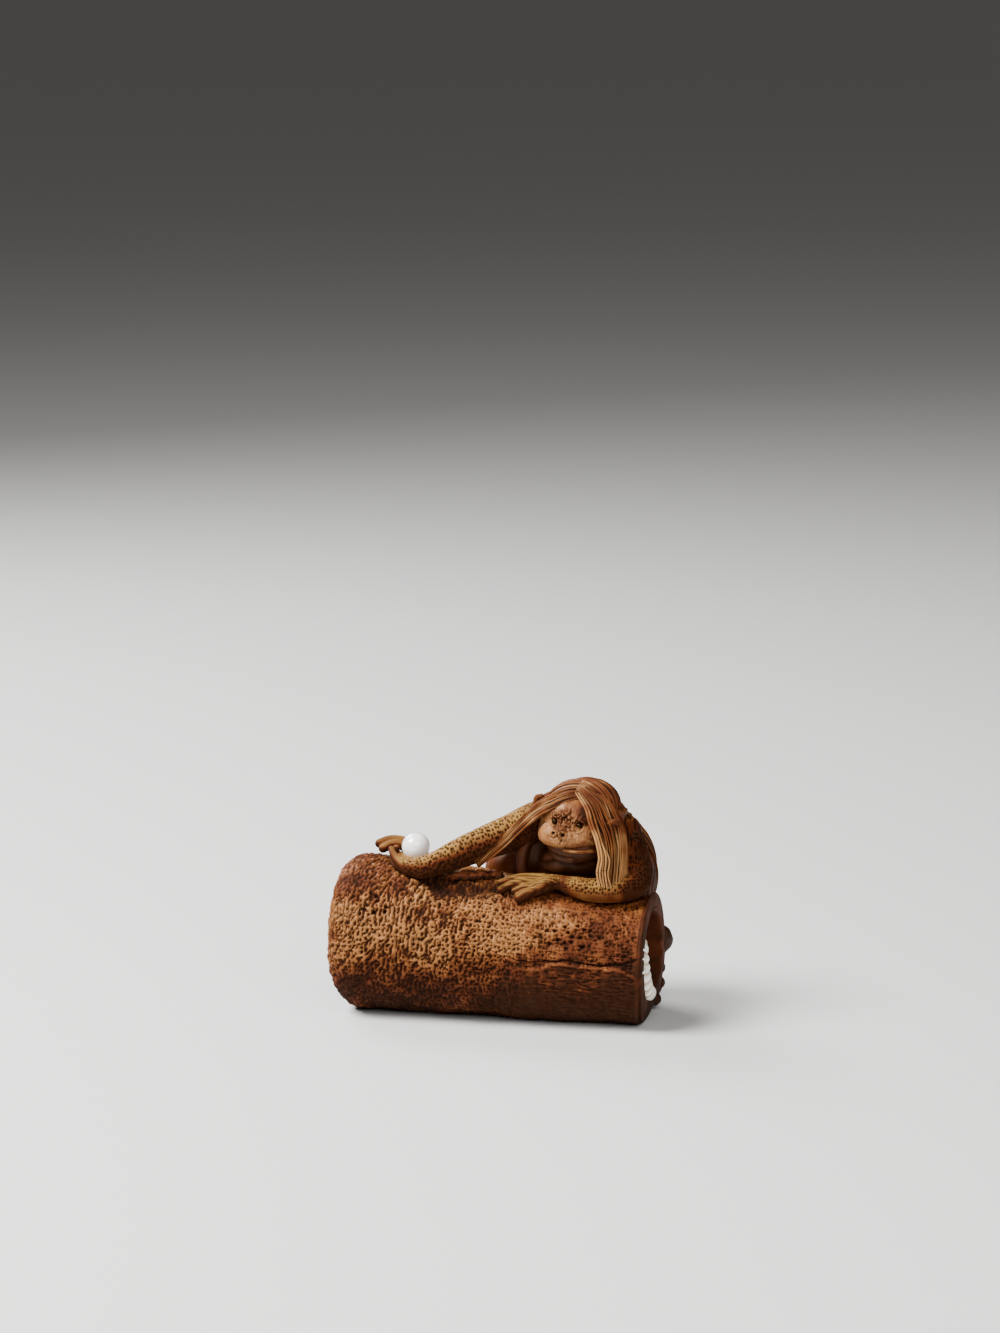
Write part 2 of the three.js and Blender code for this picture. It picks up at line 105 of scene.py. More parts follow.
def closed_ring(grid):
    """Points and faces of a grid that closes on itself both ways, as the wall of a bored log does."""
    numbers = np.arange(grid.shape[0] * grid.shape[1]).reshape(grid.shape[:2])
    return grid.reshape(-1, 3), grid_quads(np.pad(numbers, (0, 1), mode="wrap")), np.zeros((0, 3), int)


def joined(shapes):
    """Several (points, quads, fans) as one."""
    starts = np.cumsum([0] + [len(points) for points, _, _ in shapes])
    return (np.concatenate([points for points, _, _ in shapes]),
            np.concatenate([quads + start for (_, quads, _), start in zip(shapes, starts)]),
            np.concatenate([fans + start for (_, _, fans), start in zip(shapes, starts)]))


def outward(shape):
    """The same shape with its faces turned outwards: its volume, summed over pyramids from the origin to
    every face, is then above zero."""
    points, quads, fans = shape
    triangles = np.concatenate([quads[:, [0, 1, 2]], quads[:, [0, 2, 3]], fans])
    a, b, c = (points[triangles[:, k]] for k in range(3))
    if (np.cross(a, b) * c).sum() < 0:
        quads, fans = quads[:, ::-1], fans[:, ::-1]
    return points, quads, fans

# %% From arrays to an object and back
def placed(name, data):
    """An object at the origin, linked to the scene."""
    made = bpy.data.objects.new(name, data)
    bpy.context.scene.collection.objects.link(made)
    return made


def set_value(mesh, key, numbers):
    """Gives each point a number from 0 to 1 under a name that a material can read."""
    attribute = mesh.attributes.new(key, "FLOAT", "POINT")
    attribute.data.foreach_set("value", np.clip(numbers, 0, 1).astype(np.float32).ravel())


def smooth_shaded(mesh):
    """Shades a mesh as one curved surface, and not face by face."""
    mesh.polygons.foreach_set("use_smooth", np.ones(len(mesh.polygons), bool))


def mesh_object(name, shape, **values):
    """A mesh object from points in millimetres, its faces, and one number per point for each named
    value."""
    points, quads, fans = shape
    mesh = bpy.data.meshes.new(name)
    mesh.vertices.add(len(points))
    mesh.vertices.foreach_set("co", (points * MM).ravel())
    mesh.loops.add(quads.size + fans.size)
    mesh.loops.foreach_set("vertex_index", np.concatenate([quads.ravel(), fans.ravel()]).astype(np.int32))
    mesh.polygons.add(len(quads) + len(fans))
    starts = np.concatenate([4 * np.arange(len(quads)), quads.size + 3 * np.arange(len(fans))])
    mesh.polygons.foreach_set("loop_start", starts.astype(np.int32))
    mesh.update(calc_edges=True)
    smooth_shaded(mesh)
    for key, numbers in values.items():
        set_value(mesh, key, numbers)
    return placed(name, mesh)


def points_of(made):
    """Points of a mesh in millimetres, and the outward normal at each."""
    mesh = made.data
    points, normals = (np.zeros(3 * len(mesh.vertices), np.float32) for _ in range(2))
    mesh.vertices.foreach_get("co", points)
    mesh.vertices.foreach_get("normal", normals)
    return points.reshape(-1, 3).astype(float) / MM, normals.reshape(-1, 3).astype(float)


def move_points(made, points):
    """Puts a mesh's points at new places, in millimetres."""
    made.data.vertices.foreach_set("co", (points * MM).astype(np.float32).ravel())
    made.data.update()

# %% [markdown]
# ## Lines, steps and noise
#
# Three tools shape every surface here. A smooth line runs through a few chosen places. A soft step says
# where something begins or ends. Noise makes it uneven, as a hand does. Noise could be a texture in the
# material, but then it would only be in the shading. Worked out here, the same numbers both move the
# surface and stain it.

# %% Lines and steps
def through(stops, t):
    """Smooth line through places, with any further numbers they carry. Between two places it is the cubic
    whose slope at each is half the step between that place's neighbours. t runs from 0 to 1 over the whole
    line."""
    p = np.asarray(stops, float)
    p = np.concatenate([[2 * p[0] - p[1]], p, [2 * p[-1] - p[-2]]])
    s = np.clip(t, 0, 1) * (len(p) - 3)
    i = np.minimum(s.astype(int), len(p) - 4)
    f = (s - i)[..., None]
    a, b, c, d = p[i], p[i + 1], p[i + 2], p[i + 3]
    return b + 0.5 * f * (c - a + f * (2 * a - 5 * b + 4 * c - d + f * (3 * b - a - 3 * c + d)))


def through_levels(levels, t):
    """The same for single numbers."""
    return through(np.array(levels)[:, None], t)[..., 0]


def ease(value, low, high):
    """0 below low, 1 above high, and between them the curve 3t^2 - 2t^3."""
    t = np.clip((value - low) / (high - low), 0, 1)
    return t * t * (3 - 2 * t)


def fade(value, low, high):
    """The other way: 1 below low and 0 above high."""
    return ease(-value, -high, -low)


def between(value, start, full, fading, end):
    """Rises from start to full, and falls from fading to end."""
    return ease(value, start, full) * fade(value, fading, end)


def peak(value, middle, width):
    """A bell, exp(-d^2), where d is how many widths the value is from the middle."""
    return np.exp(-((value - middle) / width) ** 2)


def bump(x, z, middle, width, tall=None):
    """A round hill in two directions: exp(-d^2) with d in widths across and heights up."""
    return np.exp(-((x - middle[0]) / width) ** 2 - ((z - middle[1]) / (tall or width)) ** 2)


def unit(vectors):
    """Vectors of length 1."""
    return vectors / np.maximum(np.linalg.norm(vectors, axis=-1, keepdims=True), 1e-9)

# %% Noise, holes and gouge strokes
def cell_random(cell, seed):
    """A number from 0 to 1 for each whole-numbered cell: its coordinates are multiplied and folded
    together."""
    mixed = np.full(cell.shape[:-1], 2 * seed + 1, np.uint32)
    for axis in range(cell.shape[-1]):
        mixed = (mixed ^ cell[..., axis].astype(np.int64).astype(np.uint32)) * np.uint32(0x9E3779B1)
        mixed = mixed ^ (mixed >> np.uint32(15))
    mixed = mixed * np.uint32(0x85EBCA6B)
    return (mixed ^ (mixed >> np.uint32(13))) / 2.0**32


def noise(places, seed):
    """Smooth random field from 0 to 1: a random number at each whole-numbered corner, blended between the
    corners with weights that are flat at both ends."""
    cell = np.floor(places).astype(np.int64)
    f = places - cell
    weight = f * f * (3 - 2 * f)
    total = 0
    for corner in itertools.product((0, 1), repeat=places.shape[-1]):
        corner = np.array(corner)
        total = total + np.prod(np.where(corner, weight, 1 - weight), -1) * cell_random(cell + corner, seed)
    return total


def wobble(places, seed):
    """Noise about zero, from -0.5 to 0.5."""
    return noise(places, seed) - 0.5


def holes(places, sizes, seed):
    """Holes at scattered places: one to each whole-numbered cell, at a random place in it, with a radius
    between the two sizes. A hole is 1 in its middle and falls as (1 - (d/r)^2)^2 to 0 at its rim; where two
    meet, the deeper one counts."""
    cell = np.floor(places).astype(np.int64)
    axes = range(places.shape[-1])
    deepest = np.zeros(places.shape[:-1])
    for step in itertools.product((-1, 0, 1), repeat=len(axes)):
        near = cell + np.array(step)
        middle = near + np.stack([0.15 + 0.7 * cell_random(near, seed + k) for k in axes], -1)
        radius = sizes[0] + (sizes[1] - sizes[0]) * cell_random(near, seed + 7)
        distance = np.linalg.norm(places - middle, axis=-1) / radius
        deepest = np.maximum(deepest, np.clip(1 - distance**2, 0, 1) ** 2)
    return deepest


def gouges(places, width, stretch, lean, seed, wrap=None):
    """Strokes of a small gouge: as holes, but each is an oval. Its half width is width, give or take a
    third, it is up to stretch times as long, and it is turned by lean, give or take a fifth of a radian.
    With wrap, the strokes repeat after so many cells along the second axis, so that they meet where the
    grid closes."""
    cell = np.floor(places).astype(np.int64)
    deepest = np.zeros(places.shape[:-1])
    for step in itertools.product((-1, 0, 1), repeat=2):
        near = cell + np.array(step)
        key = near.copy()
        if wrap:
            key[..., -1] %= wrap
        scatter = np.stack([cell_random(key, seed), cell_random(key, seed + 1)], -1)
        offset = places - near - 0.2 - 0.6 * scatter
        half_width = width * (0.7 + 0.6 * cell_random(key, seed + 2))
        turned = lean + 0.4 * (cell_random(key, seed + 3) - 0.5)
        length = half_width * (1 + (stretch - 1) * cell_random(key, seed + 4))
        along = offset[..., 0] * np.cos(turned) + offset[..., 1] * np.sin(turned)
        aside = offset[..., 1] * np.cos(turned) - offset[..., 0] * np.sin(turned)
        deepest = np.maximum(deepest, 1 - (along / length) ** 2 - (aside / half_width) ** 2)
    return deepest

# %% [markdown]
# ## The log
#
# The log is a length of hollow branch, bored right through, with a rounded butt and an open mouth. It could
# be a cylinder with a hole cut through it, but a cut leaves ragged faces where the fine bark has to go. One
# closed grid does it all: the profile of the wall, out along the bark and back through the bore, carried
# round the axis.

# %% Sizes of the log
LOG_MOUTH_X, LOG_BUTT_X = 24.5, -25.7
LOG_RADIUS_BUTT, LOG_RADIUS_MOUTH, LOG_BELLY = 12.4, 9.9, 0.25
STANDING_FLAT_DEPTH = 0.15
BUTT_ROUNDING, RIM_ROUNDING = 4.6, 0.5
BORE_RADIUS_MOUTH, BORE_RADIUS_BUTT, BORE_LIP, BORE_LIFT = 6.9, 6.5, 1.3, 0.9
MOUTH_WEAR, MOUTH_WEAR_HEIGHT = 1.3, 9.0  # how far the mouth is worn back at the ground, and up to where
BARK_ROWS, LOG_AROUND = 224, 312  # rows of the grid along the bark, and its columns
FRONT = 0.95 * math.pi  # the angle that faces -Y and a little up, where the columns stand closest


def log_radius(x):
    """A straight taper from butt to mouth, and on it a belly, the parabola 4t(1 - t)."""
    t = (x - LOG_BUTT_X) / (LOG_MOUTH_X - LOG_BUTT_X)
    return LOG_RADIUS_BUTT + (LOG_RADIUS_MOUTH - LOG_RADIUS_BUTT) * t + LOG_BELLY * 4 * t * (1 - t)


def log_middle(x):
    """Height of the log's axis: its foot is cut off flat at the ground."""
    return log_radius(x) - STANDING_FLAT_DEPTH


def circle(around):
    """Angles of so many points round a circle."""
    return np.arange(around) / around * 2 * math.pi


def quarter(radius, steps):
    """Places on a quarter of a circle, (cos, sin) times its radius."""
    a = np.linspace(0, math.pi / 2, steps)
    return radius * np.cos(a), radius * np.sin(a)

# %% The wall's profile
shoulder = LOG_BUTT_X + BUTT_ROUNDING
rim_x = LOG_MOUTH_X - RIM_ROUNDING
wall_x = np.linspace(rim_x, shoulder, BARK_ROWS)
butt_cos, butt_sin = quarter(BUTT_ROUNDING, 32)
butt_flat_r = np.linspace(log_radius(shoulder) - BUTT_ROUNDING, BORE_RADIUS_BUTT + BORE_LIP, 5)[1:-1]
lip_cos, lip_sin = quarter(BORE_LIP, 7)
bore_x = np.linspace(LOG_BUTT_X + BORE_LIP, rim_x, 34)[1:-1]
rim_cos, rim_sin = quarter(RIM_ROUNDING, 5)
rim_r = np.linspace(BORE_RADIUS_MOUTH + RIM_ROUNDING, LOG_RADIUS_MOUTH - RIM_ROUNDING, 6)[1:-1]
profile_x, profile_r = (np.concatenate(numbers) for numbers in zip(
    (wall_x, log_radius(wall_x)),
    (shoulder - butt_sin[1:], log_radius(shoulder) - BUTT_ROUNDING + butt_cos[1:]),
    (np.full(len(butt_flat_r), LOG_BUTT_X), butt_flat_r),
    (LOG_BUTT_X + BORE_LIP - lip_cos, BORE_RADIUS_BUTT + BORE_LIP - lip_sin),
    (bore_x, np.linspace(BORE_RADIUS_BUTT, BORE_RADIUS_MOUTH, len(bore_x))),
    (rim_x + rim_sin, BORE_RADIUS_MOUTH + RIM_ROUNDING - rim_cos),
    (np.full(len(rim_r), LOG_MOUTH_X), rim_r),
    (rim_x + rim_cos[:-1], LOG_RADIUS_MOUTH - RIM_ROUNDING + rim_sin[:-1])))
step = np.hypot(np.diff(profile_x), np.diff(profile_r))
profile_run = np.concatenate([[0], np.cumsum(step)])  # how far along the wall's surface from the mouth
butt_end = profile_run[len(wall_x) + len(butt_cos) - 2]
in_rim = ease(profile_r, 0.5 * (BORE_RADIUS_MOUTH + LOG_RADIUS_MOUTH), BORE_RADIUS_MOUTH + RIM_ROUNDING)
in_rim = np.where(profile_x > LOG_MOUTH_X - 0.1, in_rim, 1)
lift = BORE_LIFT * ease(profile_run, butt_end + 2, butt_end + 6) * in_rim
print("log profile:", len(profile_r), "points")

# %% The log's grid
even = circle(LOG_AROUND)
turn = even - 0.5 * np.sin(even - FRONT)
x = np.repeat(profile_x[:, None], LOG_AROUND, 1)
r, a = profile_r[:, None], turn[None, :]
log_grid = np.stack([x, r * np.cos(a), r * np.sin(a) + (log_middle(profile_x) + lift)[:, None]], -1)
down = np.clip(1 - log_grid[..., 2] / MOUTH_WEAR_HEIGHT, 0, 1)
log_grid[..., 0] -= MOUTH_WEAR * down**2 * ease(x, LOG_MOUTH_X - 3 * MOUTH_WEAR, LOG_MOUTH_X)
along, round_it = (np.roll(log_grid, -1, k) - np.roll(log_grid, 1, k) for k in (0, 1))
log_normal = unit(np.cross(along, round_it))
BARK_ROW = 50  # a row of the grid that lies on the bark, to tell outwards from inwards
from_middle = log_grid[BARK_ROW] - log_grid[BARK_ROW].mean(0)
log_normal *= np.sign((log_normal[BARK_ROW] * from_middle).sum())
y, height, front = log_grid[..., 1], log_grid[..., 2], -log_grid[..., 1]
print("log grid:", log_grid.shape)

# %% [markdown]
# ## The bark
#
# The bark is cut with a small gouge, in short strokes that run together like the tracks of beetles, longer
# near the butt. Two clusters of deeper holes, a crack, a plate of smoother bark under it and a furrow under
# the arm break the pattern. A stroke is an oval at a random place in a cell of its own, so thousands of
# them need no loop. They are pushed into the grid along its normals, which puts them in the mesh and not
# only in the shading.

# %% Places on the bark
PIT_ALONG, PIT_ROUND = 0.68, 0.8  # spacing of the pits along the log and round it
pit_cells = round(2 * math.pi * LOG_RADIUS_BUTT / PIT_ROUND)
place = np.stack(np.broadcast_arrays(profile_run[:, None] / PIT_ALONG, a / (2 * math.pi) * pit_cells), -1)
drift = np.stack([wobble(log_grid / 1.3, seed) for seed in (3, 4)], -1)
crack_height = through_levels([11.7, 11.2, 11.4, 11.6, 11.2, 11.1, 11.4, 12.3], (x - 4.0) / 20.4)
plate_edge = through_levels([10.1, 11.05, 10.95, 10.8, 10.75, 10.4, 9.1], (x - 8.4) / 16)
over_crack = height - crack_height + 0.3 * wobble(log_grid / 0.9, 5)
over_edge = height - plate_edge + 0.2 * wobble(log_grid / 1.1, 7)
on_front = ease(front, 4, 6)
on_plate = on_front * ease(x, 5, 8)
worn = on_front * ease(x, 5, 9) * fade(over_edge, -0.5, 0)
towards_butt = fade(x, -12, 6)
outside = ease(butt_end + 1.5 - profile_run, 0, 3)[:, None] * ease(profile_run, 0, 0.8)[:, None]
print("pits along and round the log:", round(butt_end / PIT_ALONG), "x", pit_cells)

# %% Strokes of the gouge
swirl = 1.1 + 0.9 * wobble(log_grid / 2.6, 9)
tracks = gouges(place + 0.5 * drift, width=0.25 + 0.04 * towards_butt, stretch=1.9 + 1.7 * towards_butt,
                lean=swirl, seed=11, wrap=pit_cells)
small = gouges(1.6 * place + 0.8 * drift, width=0.25, stretch=1.9, lean=swirl, seed=23)
small = small * (1 - 0.5 * towards_butt)
worn_marks = gouges(place * [0.5, 1.1] + drift, width=0.3, stretch=2.0, lean=0.0, seed=27)
clusters = bump(x, height, (-17.8, 18.6), 3.0, 1.8) + bump(x, height, (13.2, 15.0), 4.6, 1.7)
deep = holes(place * 0.5 + 0.2 * drift, (0.2, 0.32), 31) ** 0.5
deep = outside * (deep * ease(clusters * ease(front, 0, 3), 0.25, 0.45))
shallower = 1 - 0.2 * ease(x, 0, 6) + 0.2 * ease(x, 13, 17)
sparse = 1 - 0.5 * ease(x, 3, 12) * ease(noise(log_grid / 0.9, 12), 0.45, 0.65)
pit = np.maximum(tracks**0.7, 0.7 * small**0.7) * shallower * sparse * (1 - worn)
pit = outside * np.maximum(pit, worn * np.maximum(0.7 * worn_marks, 0.5 * small))
print("share of the bark that is pitted:", round(float((pit[profile_run < butt_end] > 0.3).mean()), 2))

# %% The crack, the plate and the furrow
crack = on_front * ease(x, 3.2, 6.0) * peak(over_crack, 0, 0.09 + 0.08 * ease(x, 16, 23))
step_down = on_plate * ease(over_edge, -0.05, 0.45) * fade(over_crack, -0.4, 0.2)
plate_lip = on_plate * peak(over_edge, -0.25, 0.3)
furrow_line = through_levels([-5.2, -6.4, -6.5, -5.6, -4.4], (x + 12.5) / 16)
under_arm = ease(height, 15, 18) * ease(x, -14, -10) * fade(x, 3, 7.5)
arm_shadow = under_arm * peak(y, furrow_line, 1.6)
furrow = under_arm * peak(y, furrow_line, 0.75)
wrist_ridge = bump(x, y, (-12.8, -6.3), 1.9, 0.4) * ease(height, 15, 18)
print("crack from x =", round(float(x[crack > 0.5].min()), 1), "to", round(float(x[crack > 0.5].max()), 1))

# %% Depth of the bark, in millimetres
PIT_DEPTH, HOLE_DEPTH, CRACK_DEPTH, STEP_DEPTH, FURROW_DEPTH = 0.46, 0.7, 0.5, 0.3, 0.85
PLATE_LIP_HEIGHT, WRIST_RIDGE_HEIGHT = 0.14, 0.4
SWELLS, ROUGHNESS, PEELING, WORN_GRAIN = 0.5, 0.26, 0.24, 0.12
swell = wobble(log_grid / 4.5, 6)
rough = wobble(log_grid / 0.5, 8)
peel = wobble(log_grid, 10)
grain = wobble(log_grid * [0.4, 3.0, 3.0], 14)
depth = outside * (PIT_DEPTH * pit + HOLE_DEPTH * deep + CRACK_DEPTH * crack + STEP_DEPTH * step_down
                   - PLATE_LIP_HEIGHT * plate_lip + FURROW_DEPTH * furrow - SWELLS * swell
                   - (ROUGHNESS * rough + PEELING * peel) * (1 - 0.4 * worn) - WORN_GRAIN * worn * grain
                   - WRIST_RIDGE_HEIGHT * wrist_ridge)
log_grid = log_grid - depth[..., None] * log_normal
log_grid[..., 2] = np.maximum(log_grid[..., 2], 0)  # the flat that it stands on
print("bark from", round(float(depth.min()), 2), "to", round(float(depth.max()), 2), "mm deep")

# %% Stain and painted shade on the bark
# How hollow the bark is, with the arm's shadow on the log painted in as well.
hollow_and_shadow_log = (1.55 * pit**1.3 - 0.6 * rough - 0.45 * peel + 1.8 * deep + 1.2 * crack + 0.4 * step_down
              + 0.7 * arm_shadow)
hollow_and_shadow_log = np.clip(hollow_and_shadow_log - 0.4 * plate_lip, 0, 1)
patches = wobble(log_grid / 3.5, 21) + 0.7 * wobble(log_grid / 1.2, 22)
# Stain on the bark, with painted shade in it: darker towards the foot is painted shade, as is the arm's
# shadow that comes in with the hollows.
stain_and_shade_log = (0.04 + 0.35 * ease(x, -2, 10) + 0.25 * ease(x, 10, 22)  # darker towards the mouth
             + 0.95 * fade(height, 3.5, 14.0)  # and the foot
             + 0.25 * fade(x, -22, -10) * ease(height, 17, 21) + 0.2 * ease(height, 18, 22)  # and the top
             + 0.1 * worn + 0.3 * fade(front, -8, 3) + 0.7 * patches
             + worn * (0.8 * grain + 0.5 * peel) + 0.5 * (hollow_and_shadow_log - 0.3) - 0.2 * plate_lip)
# Inside the bore and on the rim, painted shade: the number is set full and dark.
stain_and_shade_log = np.where(outside > 0.3, stain_and_shade_log, 1.0 + 0.5 * patches + 0.4 * rough)
log = mesh_object("log", outward(closed_ring(log_grid)), hollow=hollow_and_shadow_log, stain=stain_and_shade_log)
print("log:", len(log.data.polygons), "quads")

# %% [markdown]
# ## The ape's body
#
# A carver roughs out rounded masses and lets them run into each other. So the body is built as rounded
# masses too: egg shapes, and limbs whose section is carried along a smooth line. A voxel remesh then melts
# them into one skin, and smoothing takes away the creases, as a scraper would. Names of sides are the ape's
# own.

# %% Rounded masses
def egg(middle, radii, around=48):
    """An ellipsoid: middle + radii * (cos b cos a, cos b sin a, sin b)."""
    b = np.linspace(-math.pi / 2, math.pi / 2, around // 2 + 1)[1:-1, None]
    a = circle(around)[None, :]
    ball = np.stack(np.broadcast_arrays(np.cos(b) * np.cos(a), np.cos(b) * np.sin(a), np.sin(b)), -1)
    poles = np.array([[0, 0, -1], [0, 0, 1]])
    middle, radii = np.array(middle), np.array(radii)
    return outward(closed_tube(middle + radii * ball, *(middle + radii * poles)))


def limb(stops, around=32, rows=None, up=(0, 0, 1), rings=np.ones_like):
    """A rounded form along a smooth line of stops (x, y, z, half width, half thickness), where a thickness
    not given is the width. The section at each point is an ellipse that stands across the line; over the
    last half width at both ends it shrinks as a circle's chord does, which closes the form with a dome.
    rings is a factor on the size of the section along the line."""
    stops = [[*s[:4], s[4] if len(s) > 4 else s[3]] for s in stops]
    rows = rows or 14 * (len(stops) - 1)
    cap = np.linspace(0, math.pi / 2, 9)[1:-1]
    t = np.concatenate([np.zeros(len(cap)), np.linspace(0, 1, rows), np.ones(len(cap))])
    past = np.concatenate([-np.cos(cap), np.zeros(rows), np.cos(cap[::-1])])
    shrink = np.concatenate([np.sin(cap), np.ones(rows), np.sin(cap[::-1])])
    line = through(stops, t)
    h = 1e-3  # the step over which a slope is measured
    tangent = unit(through(stops, np.minimum(t + h, 1))[:, :3] - through(stops, np.maximum(t - h, 0))[:, :3])
    side = unit(np.cross(tangent, np.array(up, float)))
    normal = np.cross(side, tangent)
    a = circle(around)
    reach = (0.5 * (line[:, 3] + line[:, 4]))[:, None]
    middle = line[:, :3] + tangent * past[:, None] * reach
    size = (shrink * rings(t))[:, None, None]
    grid = middle[:, None] + size * (side[:, None] * (line[:, 3, None] * np.cos(a))[..., None]
                                     + normal[:, None] * (line[:, 4, None] * np.sin(a))[..., None])
    ends = (line[0, :3] - tangent[0] * reach[0], line[-1, :3] + tangent[-1] * reach[-1])
    return outward(closed_tube(grid, *ends))


def finger(stops):
    """A thin limb."""
    return limb(stops, around=20, rows=10 * (len(stops) - 1))


def melted(name, shapes, voxel, passes):
    """One closed skin round several shapes: voxel remesh keeps what lies outside all of them, and passes of
    smoothing round off the creases between them. voxel is in millimetres."""
    rough_out = mesh_object(name + "_rough", joined(shapes))
    remesh = rough_out.modifiers.new("melt", "REMESH")
    remesh.mode = "VOXEL"
    remesh.voxel_size = voxel * MM
    smooth = rough_out.modifiers.new("scrape", "SMOOTH")
    smooth.factor = 0.5
    smooth.iterations = passes
    bpy.context.view_layer.update()
    skin = bpy.data.meshes.new_from_object(rough_out.evaluated_get(bpy.context.evaluated_depsgraph_get()))
    skin.name = name
    smooth_shaded(skin)
    bpy.data.objects.remove(rough_out)
    print(name + ":", len(skin.polygons), "quads")
    return placed(name, skin)

# %% Masses of the torso and the head: middles and radii
TORSO = [
    ([12, 8.6, 20.5], [11.2, 7.4, 11.8]),
    ([5.4, 5.0, 25.2], [5.2, 5.0, 6.6]),
    ([1.8, 4.4, 22.4], [5.2, 3.8, 4.2]),
    ([12, 2.6, 24.2], [7.4, 4.6, 5.0]),
    ([12, 11.8, 7.6], [9.6, 5.2, 8.2]),
    ([17.2, 4.2, 28.2], [4.5, 4.8, 4.6]),
    ([17.5, 2.4, 31.8], [2.2, 3.0, 2.6]),
    ([7.6, 4.6, 30.0], [4.4, 4.4, 4.4]),
]
HEAD = [
    ([12.3, 2.2, 31.3], [5.8, 5.7, 5.8]),
    ([13.6, 2.6, 33.0], [5.0, 4.8, 4.4]),
    ([11.8, -0.6, 31.6], [4.8, 3.6, 4.2]),
    ([11.7, -2.0, 30.0], [4.8, 3.6, 2.5]),
    ([12.6, -1.7, 27.5], [4.6, 3.3, 2.5]),
    ([12.2, 0.6, 25.2], [5.8, 3.6, 3.0]),
]
FOREHEAD = ([11.8, -0.9, 31.6], [4.9, 3.9, 4.1])
CHEST_FOLD = limb([[4.4, -0.4, 28.0, 0.9], [3.8, -0.6, 26.0, 0.9], [3.6, -0.7, 24.2, 0.9],
                   [3.7, -0.8, 22.6, 0.9]])
print("masses:", len(TORSO) + len(HEAD))

# %% Legs: thigh, shin, foot and three toes on each side, left and then right
LEGS = [
    limb([[15.0, 13.0, 7.6, 4.6], [19.4, 12.6, 9.8, 3.5], [23.1, 10.4, 10.9, 2.5]]),
    limb([[22.7, 10.9, 10.5, 2.4], [21.0, 12.2, 6.8, 2.0], [17.6, 12.4, 3.0, 2.2]]),
    limb([[16.6, 12.2, 2.0, 1.9], [19.6, 11.2, 3.0, 2.1], [22.2, 9.6, 4.2, 1.5, 2.6]]),
    finger([[20.8, 10.4, 5.0, 1.2], [22.2, 10.2, 6.2, 1.15], [23.5, 9.4, 6.5, 1.15]]),
    finger([[20.8, 10.0, 3.4, 1.1], [22.6, 9.4, 4.1, 1.05], [23.7, 8.6, 4.25, 1.05]]),
    finger([[20.4, 9.4, 1.9, 1.1], [22.2, 8.6, 1.9, 1.1], [23.2, 7.6, 1.8, 1.15]]),
    limb([[9.0, 13.4, 7.6, 4.6], [4.4, 14.0, 10.0, 3.6], [1.2, 13.0, 11.2, 2.8]]),
    limb([[1.2, 13.1, 11.0, 2.5], [3.2, 13.8, 7.0, 2.1], [6.2, 13.2, 3.0, 2.2]]),
    limb([[7.2, 12.8, 2.0, 1.9], [4.2, 12.0, 2.9, 2.0], [1.8, 10.6, 3.6, 1.2, 2.0]]),
    finger([[2.8, 11.2, 5.2, 1.0], [0.8, 11.6, 6.3, 0.85], [-1.0, 11.1, 6.6, 0.8]]),
    finger([[2.6, 10.6, 3.6, 1.0], [0.4, 10.5, 4.4, 0.9], [-1.2, 9.8, 4.6, 0.85]]),
    finger([[3.0, 9.4, 1.9, 1.0], [0.8, 8.8, 2.1, 0.9], [-0.8, 7.8, 2.2, 0.9]]),
]
body = melted("body", [egg(*mass) for mass in TORSO + HEAD] + [CHEST_FOLD] + LEGS,
              voxel=0.24, passes=10)

# %% Hair cut into the body, and folds in the throat
LOCKS_ROUND = 56  # how many locks would go right round the ape
GROOVE_DEPTH, FOLD_HEIGHT, TUFT_HEIGHT = 0.45, 0.3, 0.6
INTO_WALL = 1.5  # how far outside the bore the body stops, in the wood of the log
p, n = points_of(body)
x, y, z = p.T
fall_angle = np.arctan2(y - 4.0, x - 12.0)
waver = 0.16 * wobble(p / 4.0, 41) + 0.05 * np.sin(0.7 * z + 3 * fall_angle)
phase = (fall_angle + waver) / (2 * math.pi) * LOCKS_ROUND
lock = np.abs(np.sin(math.pi * phase)) ** 0.6
strand = np.abs(np.sin(math.pi * (3 * phase + 1.5 * noise(p / 1.4, 42))))
groove = ease(z, 5.5, 8.5) * ease(y, 1.5, 4.5) * (1 - 0.65 * lock - 0.35 * strand)
coarse = ease(x, 16, 18) * ease(z, 23, 26)
coarse = coarse * (noise(p * [2.2, 2.2, 1.1], 46) + 0.6 * noise(p * [4.0, 4.0, 2.2], 47) - 0.8)
throat = fade(y, -2, 0) * fade(z, 27, 28) * ease(x, 5, 7) * fade(x, 16, 18)
fold = throat * np.sin(2 * math.pi * (z / 1.9 + 0.1 * x + 1.6 * noise(p / 2.8, 44)))
fold = fold * ease(noise(p / 2.0, 45), 0.35, 0.65)
p = p - n * (GROOVE_DEPTH * groove - FOLD_HEIGHT * fold - TUFT_HEIGHT * coarse)[:, None]
p[:, 2] = np.maximum(p[:, 2], 0)
from_axis = p[:, 1:] - np.stack([np.zeros(len(p)), log_middle(p[:, 0]) + BORE_LIFT], -1)
clear = np.maximum(1, (BORE_RADIUS_MOUTH + INTO_WALL) / np.linalg.norm(from_axis, axis=-1, keepdims=True))
p[:, 1:] += (clear - 1) * from_axis
move_points(body, p)
# The throat's share of this is painted shade.
set_value(body.data, "hollow", 1.1 * groove - 0.7 * fold + 0.1 * throat - 2.2 * coarse)
x, y, z = p.T
